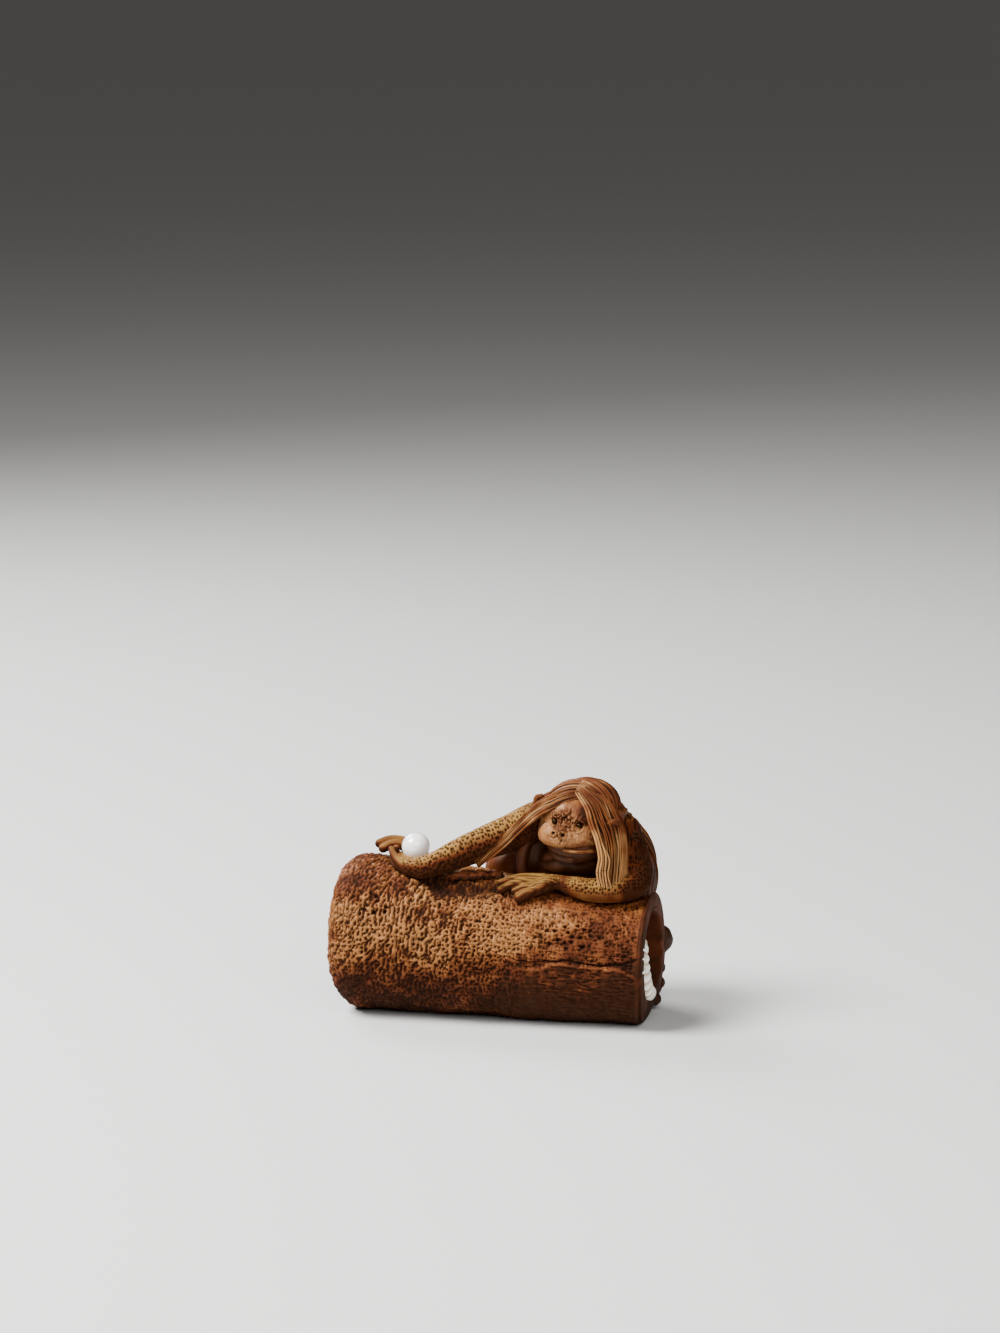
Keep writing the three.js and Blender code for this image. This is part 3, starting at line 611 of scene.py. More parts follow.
# Painted shade goes into the stain below: under the chin, and on the far right side, away from the window
# lamp. The stain is also darker at the front and low down.
shade_under_chin = fade(z, 27, 28) * fade(y, 0, 3) * ease(x, 3, 6)
body_stain_and_shade = (0.6 + 0.2 * fade(y, 0, 2) + 0.4 * shade_under_chin + 0.25 * fade(z, 8, 14)
              + 0.35 * ease(x, 21.5, 23.5) - 0.2 * ease(x, 15, 17) * ease(z, 22, 26)
              + 0.35 * wobble(p / 2.5, 43))
set_value(body.data, "stain", body_stain_and_shade)
print("hairy share of the body:", round(float((groove > 0.1).mean()), 2))

# %% [markdown]
# ## Arms and hands
#
# One arm lies stretched along the log and ends in a hand that is curled up round the pearl. The other
# forearm rests on the log, with its hand spread flat. They are limbs and fingers, melted together as the
# body is. The skin is drilled with tiny blind holes that keep a dark spot of stain. A pattern in the
# material could draw the spots, but only holes in the mesh catch the light at their rims, so this skin has
# a finer voxel than the body.

# %% Places of the arms and hands
RIGHT_ARM = [[8.8, 4.4, 30.9, 3.8], [5.1, 2.2, 30.2, 3.35], [2.35, 0.0, 29.2, 3.0], [-1.2, -2.0, 27.9, 2.7],
             [-5.0, -4.0, 26.4, 2.4], [-8.3, -5.5, 24.95, 2.0], [-10.8, -5.9, 24.1, 1.8],
             [-12.8, -5.2, 23.8, 1.9, 1.5]]
LEFT_ARM = [[18.0, 3.0, 28.6, 4.0], [20.6, 0.8, 25.4, 3.1], [21.9, -2.2, 22.7, 2.5], [20.0, -4.1, 21.9, 2.1],
            [16.2, -4.9, 21.6, 1.9], [13.0, -4.9, 22.0, 1.6], [10.8, -4.6, 22.4, 1.35, 1.2]]
LEFT_HAND = [
    limb([[11.2, -4.6, 22.4, 1.4, 1.2], [9.0, -4.5, 22.5, 2.1, 1.15], [7.2, -4.9, 22.1, 2.1, 1.0]]),
    finger([[9.2, -5.7, 22.1, 0.9], [6.8, -6.6, 21.3, 0.9], [4.7, -7.2, 20.3, 0.8]]),
    finger([[8.4, -5.2, 22.3, 0.75], [6.0, -5.9, 21.9, 0.72], [3.9, -6.5, 21.1, 0.62]]),
    finger([[7.8, -4.4, 22.5, 0.8], [4.3, -5.2, 22.2, 0.78], [1.6, -6.1, 21.2, 0.68]]),
    finger([[7.8, -3.6, 22.8, 0.8], [4.0, -3.9, 22.7, 0.75], [1.2, -4.7, 22.0, 0.62]]),
]
RIGHT_HAND = [
    limb([[-11.8, -4.9, 23.7, 1.9, 1.3], [-13.4, -3.2, 23.7, 2.9, 1.3], [-14.6, -0.9, 23.9, 2.8, 1.3]]),
    finger([[-11.2, -5.9, 24.0, 1.7], [-13.2, -5.7, 24.0, 1.45], [-14.9, -5.3, 24.6, 0.95],
            [-15.9, -4.7, 25.5, 0.62], [-16.5, -3.9, 26.3, 0.5]]),
    finger([[-13.6, 1.0, 24.9, 0.9], [-15.6, 2.0, 26.2, 0.8], [-18.0, 1.7, 26.5, 0.8],
            [-19.6, 0.6, 26.1, 0.75]]),
    finger([[-14.6, 0.4, 24.6, 0.85], [-16.0, 1.0, 25.8, 0.75], [-17.6, 0.6, 26.0, 0.75],
            [-18.8, -0.4, 25.5, 0.7]]),
    finger([[-15.2, -1.0, 24.2, 0.85], [-16.6, -0.9, 25.0, 0.7], [-16.4, -1.2, 25.9, 0.55]]),
    finger([[-13.2, 0.8, 24.4, 0.9], [-13.6, 1.7, 25.8, 0.8], [-14.0, 1.4, 27.0, 0.65]]),
]
arms = melted("arms", [limb(RIGHT_ARM), limb(LEFT_ARM)] + LEFT_HAND + RIGHT_HAND, voxel=0.137, passes=5)

# %% Drilled skin, and strokes cut on the spread hand
DRILLED_DEPTH, STROKE_DEPTH, STROKE_WIDTH = 0.2, 0.09, 0.62
ARM_RADIUS = 2.4  # a middling one


def drilling(p, arm, spacing, sizes, seed):
    """Holes drilled over an arm, and how far along it each point is. They lie on its surface unrolled: the
    way along the straight line from its first stop to its last, and the turn round that line times a
    radius."""
    start, end = (np.array(arm[k][:3]) for k in (0, -1))
    axis = unit(end - start)
    side = unit(np.cross(axis, [0, 0, 1]))
    offset = p - start
    turned = np.arctan2(offset @ side, offset @ np.cross(side, axis))
    run = offset @ axis
    return run, holes(np.stack([run, ARM_RADIUS * turned], -1) / spacing, sizes, seed)


p, n = points_of(arms)
x, y, z = p.T
run, drilled = drilling(p, RIGHT_ARM, 0.48, (0.32, 0.5), 51)
drilled = drilled * fade(run, 25.4, 26.4) * fade(x, 9.5, 10.5)
drilled = drilled * np.maximum(ease(x, -10, -8), fade(y + n[:, 1], -6, -5))
drilled = drilled * np.maximum(ease(z, 23.6, 24.4), fade(x, -4, -3))
_, stippled = drilling(p, LEFT_ARM[2:], 0.47, (0.34, 0.5), 53)
stippled = stippled * (0.5 * ease(x, 8, 9) + 0.5 * ease(x, 11, 13)) * ease(n[:, 2], -0.4, 0.2)
drilled = np.clip(3 * np.maximum(drilled, stippled), 0, 1)
on_hand = fade(x, 10, 12) * ease(x, 0, 1) * fade(z, 23.5, 24.5)
stroke = 0.5 + 0.5 * np.sin(2 * math.pi * (y / STROKE_WIDTH + 1.6 * noise(p * [0.35, 1.2, 1.2], 54)))
move_points(arms, p - n * (DRILLED_DEPTH * drilled + STROKE_DEPTH * on_hand * (1 - stroke))[:, None])
forearm = fade(z, 23, 25) * between(x, 10, 13, 20, 22)
# A painted shadow across the wrist, under the heel of the spread hand.
painted_wrist_shadow = peak(x, 11.4, 1.1) * fade(z, 23, 25)
set_value(arms.data, "hollow", drilled + 0.8 * on_hand * (1 - stroke) ** 1.5)
# Painted shade: darker underneath, less so under the forearm, across the wrist and on the far right side.
# From x = 2 to 10 it is darker too, partly as painted shade under the hair and partly as a darker stain.
arm_stain_and_shade = (0.12 + 0.04 * on_hand + 0.25 * painted_wrist_shadow - 0.35 * forearm + 0.25 * fade(x, -16, -14.5)
             + (0.85 - 0.45 * forearm) * fade(n[:, 2], -0.1, 0.85)  # darker underneath
             + 0.4 * ease(x, 2, 10) * (1 - on_hand) + 0.35 * ease(x, 20.5, 23.0) + 0.35 * wobble(p / 1.6, 52))
set_value(arms.data, "stain", arm_stain_and_shade)
print("drilled share of the arms:", round(float((drilled > 0.5).mean()), 2))

# %% [markdown]
# ## Hair
#
# Long hair parts on the crown and falls on both sides of the face and down the back, cut in strands with a
# V-shaped tool. Hair curves would give loose threads, which a block of wood has not. So each fall is one
# sheet: a surface between a few guide lines, laid over the head, raised where a lock runs and cut in
# between locks.

# %% Hair that falls in locks
COLUMNS_IN_LOCK, STRANDS_IN_LOCK = 14, 2


def resting_on(sheet, masses):
    """The same places, with those inside an ellipsoid moved straight out from its middle to 1% over its
    skin."""
    for middle, radii in masses:
        q = (sheet - middle) / radii
        sheet = middle + radii * q * np.maximum(1, 1.01 / np.linalg.norm(q, axis=-1, keepdims=True))
    return sheet


def curtain(locks, edges, masses=(), thickness=0.7, ridge=0.7, rows=180, seed=1, tip=0.15):
    """Hair as one ridged sheet. Edges are rows of places from root to tip, the first on the right hand of
    someone who looks along the fall with the outer face up. A point of the sheet lies on the smooth line
    across the edges, lifted along the outward normal by its lock, |sin| of the way across, and by two finer
    strands on the lock. Every lock sways on its own and has a size of its own. The inner face lies a
    thickness below. Gives the shape, a number for each point that is high in the cuts between locks, and a
    number of its own for each lock."""
    around = COLUMNS_IN_LOCK * locks
    u, v = np.meshgrid(np.linspace(0, 1, around), np.linspace(0, 1, rows), indexing="xy")
    lines = np.stack([through(edge, v[:, 0]) for edge in edges], 1)  # rows x edges x 3
    across = np.stack([through_levels(share, u[0]) for share in np.eye(len(edges))], -1)
    sheet = resting_on(np.einsum("ck,rkd->rcd", across, lines), masses)
    normal = unit(np.cross(np.gradient(sheet, axis=0), np.gradient(sheet, axis=1)))
    grain_at = np.stack([u * locks, 5 * v], -1)
    phase = u * locks + 0.25 * np.sin(2.3 * locks * u + seed) + 0.5 * wobble(grain_at * [0.5, 1.0], seed)
    phase = phase + 0.14 * np.sin(14 * v + 2.1 * np.floor(phase)) * ease(v, 0, 0.2)
    own = cell_random(np.floor(phase)[..., None], seed + 3)
    lock = np.abs(np.sin(math.pi * phase))
    strand = np.abs(np.sin(math.pi * (STRANDS_IN_LOCK * phase + 0.8 * noise(grain_at * [1, 2], seed + 1))))
    rounding = np.sin(math.pi * np.clip(u, 0, 1)) ** 0.35
    thin = (1 - (1 - tip) * v**6) * ease(v, -0.02, 0.03)
    relief = (0.6 + 0.6 * own) * lock * (0.55 + 0.45 * strand)
    lift = thin * rounding * (0.15 * thickness + ridge * ease(v, -0.3, 0.5) * relief)
    pick = np.linspace(around - 1, 0, around // 4).astype(int)
    inner = sheet[:, pick] - normal[:, pick] * (thickness * thin * rounding)[:, pick, None]
    grid = np.concatenate([sheet + normal * lift[..., None], inner], 1)
    numbers = []
    for outer_number, inner_number in [(np.clip(1.4 - 1.9 * relief, 0, 1), 0.6), (own, 0.5)]:
        numbers.append(np.concatenate([outer_number, np.full(inner.shape[:2], inner_number)], 1).ravel())
    return outward(closed_tube(grid)), *(np.append(number, [0.5, 0.5]) for number in numbers)

# %% Guide lines, from root to tip
LEFT_CURTAIN = [
    [[12.4, -1.9, 36.4], [14.8, -3.8, 34.2], [15.7, -4.9, 32.0], [16.9, -5.7, 29.9], [17.6, -6.1, 26.8],
     [17.7, -6.2, 22.4]],
    [[12.5, 0.6, 37.1], [16.4, -1.8, 35.1], [18.3, -3.0, 32.6], [19.3, -4.0, 30.0], [19.8, -4.9, 26.8],
     [19.8, -5.7, 22.2]],
    [[12.2, 4.2, 36.9], [16.0, 3.6, 35.4], [17.9, 2.2, 33.2], [19.8, -0.4, 30.4], [20.8, -2.8, 26.8],
     [21.4, -4.4, 22.0]],
]
RIGHT_CURTAIN = [
    [[13.4, -0.6, 36.4], [8.2, -1.1, 35.2], [4.7, -1.6, 32.6], [1.0, -3.0, 29.0], [-3.0, -5.0, 25.4]],
    [[13.8, -2.3, 35.8], [8.8, -3.9, 33.6], [5.2, -4.2, 30.9], [1.2, -4.6, 27.0], [-2.2, -5.0, 24.2]],
]
RIGHT_CAPE = [
    [[14.0, 6.0, 35.6], [6.8, 7.6, 32.4], [3.2, 8.2, 28.4], [1.4, 7.2, 23.0]],
    [[14.4, 3.4, 36.5], [6.8, 3.8, 34.2], [3.4, 4.0, 30.6], [0.8, 2.8, 26.0]],
    [[13.8, -0.4, 36.5], [8.0, -0.2, 35.0], [4.4, -0.6, 32.3], [1.4, -1.0, 29.6]],
]
BACK_LOCKS = [
    [[14.0, 3.6, 36.8], [18.2, 6.2, 31.4], [21.0, 9.0, 23.6], [20.8, 11.4, 16.0], [18.8, 14.4, 8.4]],
    [[13.2, 5.6, 36.4], [16.4, 10.4, 30.8], [18.4, 14.0, 22.8], [17.6, 15.0, 15.0], [15.6, 16.0, 8.0]],
    [[12.0, 6.2, 36.2], [10.8, 11.8, 30.4], [9.4, 15.0, 22.6], [9.0, 15.4, 15.0], [9.4, 16.2, 8.2]],
    [[10.8, 4.2, 36.6], [4.8, 8.6, 30.6], [1.6, 10.0, 23.4], [1.2, 11.6, 16.0], [4.4, 14.2, 8.6]],
]
print("guide lines:", sum(len(lines) for lines in (LEFT_CURTAIN, RIGHT_CURTAIN, RIGHT_CAPE, BACK_LOCKS)))

# %% Loose strands beside the face, the ears, and tufts round them
STRAND_LINES = [
    [[12.9, -2.6, 36.3, 0.25], [14.8, -4.4, 34.3, 0.36], [15.7, -5.5, 32.2, 0.34], [16.8, -6.3, 30.0, 0.34],
     [17.5, -6.8, 27.2, 0.3], [17.2, -6.9, 24.8, 0.28], [17.6, -6.7, 22.7, 0.22]],
    [[13.0, -2.2, 36.3, 0.2], [15.1, -3.9, 34.4, 0.28], [16.2, -5.1, 32.2, 0.28], [17.2, -6.1, 29.8, 0.3],
     [18.1, -6.6, 27.4, 0.26], [18.0, -6.7, 25.0, 0.24], [18.3, -6.6, 22.5, 0.2]],
    [[16.4, -5.4, 31.2, 0.2], [17.6, -6.2, 29.0, 0.26], [18.6, -6.4, 26.8, 0.24], [18.4, -6.5, 24.6, 0.22],
     [18.9, -6.4, 22.4, 0.18]],
]
LOOSE_STRANDS = [limb([[x + shift, y + 0.3 * abs(shift), z, 0.7 * r] for x, y, z, r in line], 12, 120)
                 for line in STRAND_LINES for shift in (-0.24, 0.2)]
EARS = [
    limb([[17.9, -3.6, 31.6, 0.35], [18.3, -4.0, 32.1, 0.45], [19.0, -3.6, 32.2, 0.45],
          [19.5, -3.0, 31.7, 0.35]], 20),
    limb([[5.4, 0.9, 33.4, 0.4], [5.7, 0.9, 34.5, 0.5], [6.4, 0.9, 34.9, 0.35]], 20),
]
TUFT_ROOTS = [(6.0, 0.7, 34.4, -0.1, 0.4), (21.3, 0.2, 29.8, 0.5, 0.3), (21.5, 0.4, 29.3, 0.6, 0.1),
              (21.5, -0.3, 28.9, 0.5, -0.1), (21.1, -0.6, 29.4, 0.4, 0.2)]  # place, and reach in x and z
TUFTS = [limb([[x, y, z, 0.3], [x + 0.3 * dx, y, z + 0.3 * dz, 0.28], [x + dx, y - 0.1, z + dz, 0.16]],
              12, 24) for x, y, z, dx, dz in TUFT_ROOTS]
print("loose strands, ears and tufts:", len(LOOSE_STRANDS), len(EARS), len(TUFTS))

# %% The falls of hair
# Each extra has how hollow it is, where -1 leaves that to painted shade on its sides, and how much darker it
# is.
hair = []
for name, locks, edges, options, extras in [
    ("hair_left", 16, LEFT_CURTAIN, dict(masses=HEAD, seed=61),
     [(LOOSE_STRANDS, -1, 0.2), (EARS, 0.15, 0.5), (TUFTS, 0.85, 1)]),
    ("hair_right", 8, RIGHT_CURTAIN,
     dict(masses=[*HEAD, FOREHEAD], seed=62, ridge=0.5, thickness=0.5, tip=0.7), []),
    ("hair_cape", 14, RIGHT_CAPE,
     dict(masses=HEAD + TORSO[:5], seed=63, thickness=1.3, ridge=0.45, rows=100), []),
    ("hair_back", 22, BACK_LOCKS, dict(masses=HEAD + TORSO, seed=64, thickness=1.3, rows=120), []),
]:
    shape, gaps, own = curtain(locks, edges, **options)
    for extra, hollow, darker in extras:
        shape = joined([shape, *extra])
        count = sum(len(points) for points, _, _ in extra)
        gaps, own = np.append(gaps, np.full(count, hollow)), np.append(own, np.full(count, darker))
    x, y, z = shape[0].T
    crown = ease(x, 12.8, 15.0) * ease(z, 29.0, 32.5)
    # Paler at the top of the crown, and low down where x is over 14.
    paler_places = ease(x, 12, 14) * fade(z, 27, 31) + ease(z, 35.8, 37.2)
    hair_stain = (0.05 + 0.35 * own + 0.35 * ease(y, -2, 5) + 0.1 * ease(x, 17.5, 21) + 0.2 * crown
                  - 0.22 * paler_places + 0.6 * wobble(shape[0] / 2, 65))
    made = mesh_object(name, shape, stain=hair_stain)
    # Painted shade: a loose strand darkens on its sides, where its surface turns away from the front.
    painted_side_shade = 0.9 * ease(points_of(made)[1][:, 1], -0.85, -0.45)
    set_value(made.data, "hollow", np.where(gaps < 0, painted_side_shade, gaps))
    hair.append(made)
    print(name + ":", len(made.data.polygons), "faces")

# %% [markdown]
# ## The face
#
# The face is a relief: seen from the front, it is a depth for every place across and up. It could be
# sculpted by hand, stroke by stroke. Here it is a grid in those two directions whose depth is a formula, a
# smooth blend of domes with rings and grooves cut into it, so that one number moves a lid or deepens a
# wrinkle.

# %% Brow, muzzle, lip and chin
FACE_LEFT, FACE_RIGHT, FACE_FOOT, FACE_TOP = 6.2, 17.6, 25.6, 36.6


def dome(x, z, middle, radii, boxy=2):
    """Depth of an ellipsoid's front over the plane y = 0, and well behind it where there is none. Boxy
    above 2 makes the lower half flatter and its edge sharper."""
    power = np.where(z < middle[2], boxy, 2)
    inside = 1 - ((x - middle[0]) / radii[0]) ** 2 - np.abs((z - middle[2]) / radii[2]) ** power
    return -middle[1] + radii[1] * np.sign(inside) * np.sqrt(np.abs(inside))


def blend(a, b, softness):
    """The greater of two depths, with a fillet where they meet."""
    h = np.clip(0.5 + 0.5 * (a - b) / softness, 0, 1)
    return b * (1 - h) + a * h + softness * h * (1 - h)


across, up = np.meshgrid(np.linspace(-1, 1, 220), np.linspace(-1, 1, 212))
fx = (FACE_LEFT + FACE_RIGHT) / 2 + (FACE_RIGHT - FACE_LEFT) / 2 * across * np.sqrt(1 - up**2 / 2)
fz = (FACE_FOOT + FACE_TOP) / 2 + (FACE_TOP - FACE_FOOT) / 2 * up * np.sqrt(1 - across**2 / 2)
flat = np.stack([fx, fz], -1)
face_depth = dome(fx, fz, *FOREHEAD)
for middle, radii, boxy, softness in [
    ((11.7, -2.4, 29.9), (5.0, 3.7, 2.35), 3, 1.6),
    ((13.2, -2.3, 27.6), (3.3, 3.2, 0.75), 2, 0.12),
    ((12.8, -1.4, 26.4), (4.0, 3.0, 1.3), 2, 0.25),
]:
    face_depth = blend(face_depth, dome(fx, fz, middle, radii, boxy), softness)
print("face stands forward by", round(float(face_depth.max()), 1), "mm")

# %% Lids
EYES = {"eye_right": (9.75, 32.05), "eye_left": (13.65, 31.5)}
LIDS = 0.66, 0.8  # radius of each eye's lids
drawn_x, drawn_z = (f + 0.4 * wobble(flat * 1.1, seed) for f, seed in [(fx, 78), (fz, 79)])  # wavering


def spot(middle, width, tall=None):
    """A round hill at a place on the face."""
    return bump(fx, fz, middle, width, tall)


def ring(middle, radius, width):
    """1 on a circle round a place on the face, falling away on both sides."""
    return peak(np.hypot(drawn_x - middle[0], drawn_z - middle[1]), radius, width)


creases = np.zeros_like(fx)
broken = ease(noise(flat * 1.5, 71), 0.3, 0.6)
for eye, lid in zip(EYES.values(), LIDS):
    above = ease(fz - eye[1], -0.2, 0.7)
    face_depth += 0.3 * ring(eye, lid, 0.18) * (0.2 + broken + 0.5 * above) - 0.5 * spot(eye, 1.1, 0.9)
    face_depth += 0.18 * ring((eye[0], eye[1] - 0.15), 1.3, 0.3) * above
    creases += 0.5 * broken * ring(eye, lid + 0.3, 0.1) * (0.3 + above)
print("deepest crease round the eyes:", round(float(creases.max()), 2))

# %% Curls and wrinkles between the eyes
CURLS = [((10.4, 33.1), 0.34), ((11.3, 33.2), 0.28), ((11.6, 33.7), 0.4), ((12.8, 32.5), 0.3),
         ((9.7, 32.9), 0.24), ((11.9, 32.4), 0.26), ((10.9, 32.4), 0.22)]  # middle and radius
for middle, radius in CURLS:
    bearing = np.arctan2(fz - middle[1], fx - middle[0])
    open_side = ease(np.cos(bearing - 1.3 - 9 * radius), -0.8, -0.2)
    face_depth += 0.2 * ring(middle, radius, 0.12) * open_side
    creases += (0.9 * spot(middle, 0.13) + 0.7 * ring(middle, radius + 0.2, 0.08)) * open_side
wrinkled = spot((10.9, 32.7), 2.2, 1.2) + spot((10.9, 31.0), 1.8, 1.4) + 0.8 * spot((13.6, 31.6), 1.3, 1.2)
wrinkled = np.clip(wrinkled, 0, 1)
wrinkle = wobble(np.stack([drawn_x, drawn_z], -1) * 2.4, 80)
face_depth += 0.7 * wrinkled * wrinkle
creases += 1.1 * wrinkled**2 * peak(wrinkle, 0, 0.07)
print("wrinkled share of the face:", round(float((wrinkled > 0.5).mean()), 2))

# %% Nose
bridge = peak(fx, 10.95 + 0.35 * (fz - 31.0), 0.4) * between(fz, 30.2, 30.9, 32.0, 32.9)
face_depth += 0.45 * bridge + 0.2 * spot((11.9, 31.8), 0.32) + 0.3 * spot((11.0, 31.0), 0.45)
creases += 0.7 * ease(np.sin(7.0 * fz + 2.5 * noise(flat, 72)), 0.5, 0.9) * spot((11.2, 31.9), 0.9)
nostrils = np.zeros_like(fx)
for nostril in [(9.85, 30.5), (11.35, 30.25)]:
    face_depth += 0.32 * ring(nostril, 0.45, 0.2) - 0.8 * spot(nostril, 0.22)
    nostrils += spot(nostril, 0.26)
    creases += 0.7 * ring(nostril, 0.85, 0.1) * ease(noise(flat * 1.2 + nostril[0], 75), 0.35, 0.6)
face_depth += 0.22 * ring((11.6, 30.5), 0.85, 0.2) * ease(fx, 11.8, 12.3)
creases += 0.8 * peak(fx - 0.45 * (fz - 29.4), 11.1, 0.12) * between(fz, 28.4, 28.9, 29.5, 29.9)
print("deepest crease:", round(float(creases.max()), 1))

# %% Mouth and the skin of the muzzle
slit_z = 27.98 + 0.02 * (fx - 13.5) ** 2
slit = peak(fz, slit_z, 0.13) * between(fx, 9.8, 11.6, 16, 17)
lip = peak(fz, slit_z - 0.3 + 0.04 * (fx - 13.2) ** 2, 0.2) * peak(fx, 13.2, 1.9)
chin_fold = peak(fz, 26.65 - 0.1 * (fx - 13), 0.15) * peak(fx, 13.0, 1.2)
on_muzzle = between(fz, 28.1, 28.6, 30.5, 31.5)
lines = ease(np.sin(15 * fx + 4 * noise(flat * [0.8, 0.5], 76)), 0.2, 1.0) * on_muzzle
pores = holes(flat / 0.42, (0.16, 0.26), 77) * on_muzzle
face_depth += 0.3 * lip + 0.25 * chin_fold - 0.6 * slit - 0.2 * np.clip(creases, 0, 1.3)
face_depth += 0.06 * wobble(flat / 0.35, 73) - 0.035 * lines - 0.06 * pores
relief = np.stack([fx, -np.maximum(face_depth, -0.5), fz], -1)
print("pores:", round(float((pores > 0.5).mean()), 3), "of the face")

# %% The relief made solid, and its stain and painted shade
FACE_BACK = 1.0  # y of the hidden back


def backed(front, depth):
    """A relief closed from behind: its border is carried straight back to a depth, and from there a fan of
    triangles runs to one middle point. Nobody sees the back, so it needs no grid."""
    numbers = np.arange(front[..., 0].size).reshape(front.shape[:2])
    points = front.reshape(-1, 3)
    border = np.concatenate([numbers[0, :-1], numbers[:-1, -1], numbers[-1, :0:-1], numbers[:0:-1, 0]])
    behind = points[border] * [1, 0, 1] + [0, depth, 0]
    corner = len(points) + np.arange(len(border))
    walls = np.stack([border, corner, np.roll(corner, -1), np.roll(border, -1)], -1)
    points = np.concatenate([points, behind, [behind.mean(0)]])
    quads = np.concatenate([grid_quads(numbers), walls])
    return points, quads, fan(len(points) - 1, np.roll(corner, -1), corner)


# Painted shade in the eye sockets, heavier round the left eye.
painted_socket_shade = 0.3 * spot(EYES["eye_right"], 0.45) + 0.7 * spot(EYES["eye_left"], 0.5)
dark = 0.8 * creases + 1.2 * nostrils + 1.1 * slit + painted_socket_shade + 0.15 * lines + 0.25 * pores
flush = spot((14.4, 33.8), 1.2, 1.6) + 0.35 * spot((11.0, 31.8), 1.8, 2.0)
# Darker towards +x, partly as painted shade away from the window lamp and partly as a redder stain. Darker
# under the mouth is painted shade, and the lighter chin fold is a painted highlight.
face_stain_and_shade = (0.12 - 0.1 * on_muzzle + 0.15 * ease(fz, 31.5, 34.0) + 0.8 * flush + 0.35 * ease(fx, 12.5, 16)
              + 0.45 * fade(fz, 27.0, 27.4) - 0.6 * chin_fold
              + 0.5 * wobble(flat / 1.3, 74) + 0.3 * wobble(flat / 0.4, 70))
face_shape = outward(backed(relief, FACE_BACK))
hidden = np.full(len(face_shape[0]) - fx.size, 0.5)
face = mesh_object("face", face_shape, hollow=np.append(dark, hidden), stain=np.append(face_stain_and_shade, hidden))
print("face:", len(face.data.polygons), "faces")

# %% [markdown]
# ## The lip of bark, the pearl, the grub and the eyes
#
# Under the outstretched arm a lip of bark curls up, with a knobbly skin: it is a limb, melted and then
# pushed about by noise. The pearl and the eyes are balls that fill the boxes of their solids. The grub is a
# limb that bends round inside the log's mouth, and its rings are swells of its section along its path.

# %% Lip of bark
BARK_LIP = [[-8.3, -5.0, 22.3, 0.4, 0.35], [-5.8, -4.8, 22.7, 0.95, 0.6], [-3.2, -4.2, 22.9, 1.1, 0.65],
            [0.6, -2.8, 22.8, 0.9, 0.6]]
bark = melted("bark_lip", [limb(BARK_LIP)], voxel=0.12, passes=2)
p, n = points_of(bark)
knobs = wobble(p / 0.45, 81) + 0.5 * wobble(p / 0.9, 82)
pricked = holes(p / 0.7, (0.25, 0.4), 83)
move_points(bark, p + n * (0.45 * knobs - 0.25 * pricked)[:, None])
set_value(bark.data, "hollow", 0.1 - 1.6 * knobs + pricked)
# Stain with painted shade: darker where the surface faces down.
set_value(bark.data, "stain", 0.6 + 0.4 * fade(n[:, 2], -0.3, 0.5) + wobble(p / 1.2, 84))

# %% Pearl, eyes and grub
GRUB_RINGS, GRUB_RING_DEPTH, GRUB_FLATNESS = 9, 0.26, 0.66
GRUB_HALF_WIDTHS = [0.7, 1.1, 1.35, 1.42, 1.38, 1.2, 0.8]  # from one end to the other
GRUB_X, GRUB_SINK = 24.25, 0.15  # its sink is how far it is let into the wood
GRUB_START, GRUB_END = 150, 281  # degrees round the bore, from straight back over the top
LEG = [(24.6, 6.2, 0.28), (24.7, 7.2, 0.24), (24.5, 8.3, 0.16)]  # x, way from the bore's axis, half width
LEGS_AT = 161, 171, 186  # degrees
bore_middle = log_middle(LOG_MOUTH_X) + BORE_LIFT


def ball_in(name, around):
    """A ball that fills the box of a solid."""
    low, high = (np.array(c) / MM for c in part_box(name))
    return mesh_object(name + "_polished", egg((low + high) / 2, (high - low) / 2, around))


def in_bore(x, reach, degrees):
    """The place so far from the bore's axis, turned so far round it."""
    return [x, reach * np.cos(np.radians(degrees)), bore_middle + reach * np.sin(np.radians(degrees))]


def ring_grooves(t):
    """Grooves between the grub's rings: |cos|^3 along its path."""
    return np.abs(np.cos(t * GRUB_RINGS * math.pi)) ** 3


pearl = ball_in("pearl", 64)
grub_turns = np.linspace(GRUB_START, GRUB_END, len(GRUB_HALF_WIDTHS))
grub_line = [[*in_bore(GRUB_X, BORE_RADIUS_MOUTH + GRUB_SINK - w, degrees), w, GRUB_FLATNESS * w]
             for degrees, w in zip(grub_turns, GRUB_HALF_WIDTHS)]
grub_body = limb(grub_line, 48, 180, (1, 0, 0), lambda t: 1 - GRUB_RING_DEPTH * ring_grooves(t))
grub_legs = [limb([[*in_bore(x, reach, degrees), w] for x, reach, w in LEG], 12, 20) for degrees in LEGS_AT]
grub = mesh_object("grub_carved", joined([grub_body, *grub_legs]))
p, _ = points_of(grub)
turned = np.degrees(np.arctan2(p[:, 2] - bore_middle, p[:, 1])) % 360
in_groove = ring_grooves((turned - GRUB_START) / (GRUB_END - GRUB_START))
in_groove[len(grub_body[0]):] = 0  # the legs have no rings
set_value(grub.data, "hollow", 0.8 * in_groove)
set_value(grub.data, "stain", noise(p / 1.5, 91))
eyes = [ball_in(name, 32) for name in EYES]
print("pearl, grub and eyes:", [len(made.data.polygons) for made in (pearl, grub, *eyes)], "faces")

# %% [markdown]
# ## Finishes
#
# Boxwood is pale and very fine in its grain. Netsuke are stained, the stain stays in every hollow, and
# years of polishing bring the high places back to honey. That could be painted onto each piece by hand.
# Here the colour follows two numbers that each surface carries, how hollow it is and how deeply it is
# stained, so that the dark lies in the cuts by itself. Painted shade is added to both in places: at the log's
# foot, in its bore and on its rim, under the chin and the arms, in the eye sockets and on sides turned from
# the lamps, with the arm's shadow painted on the log and a painted highlight on the chin fold.

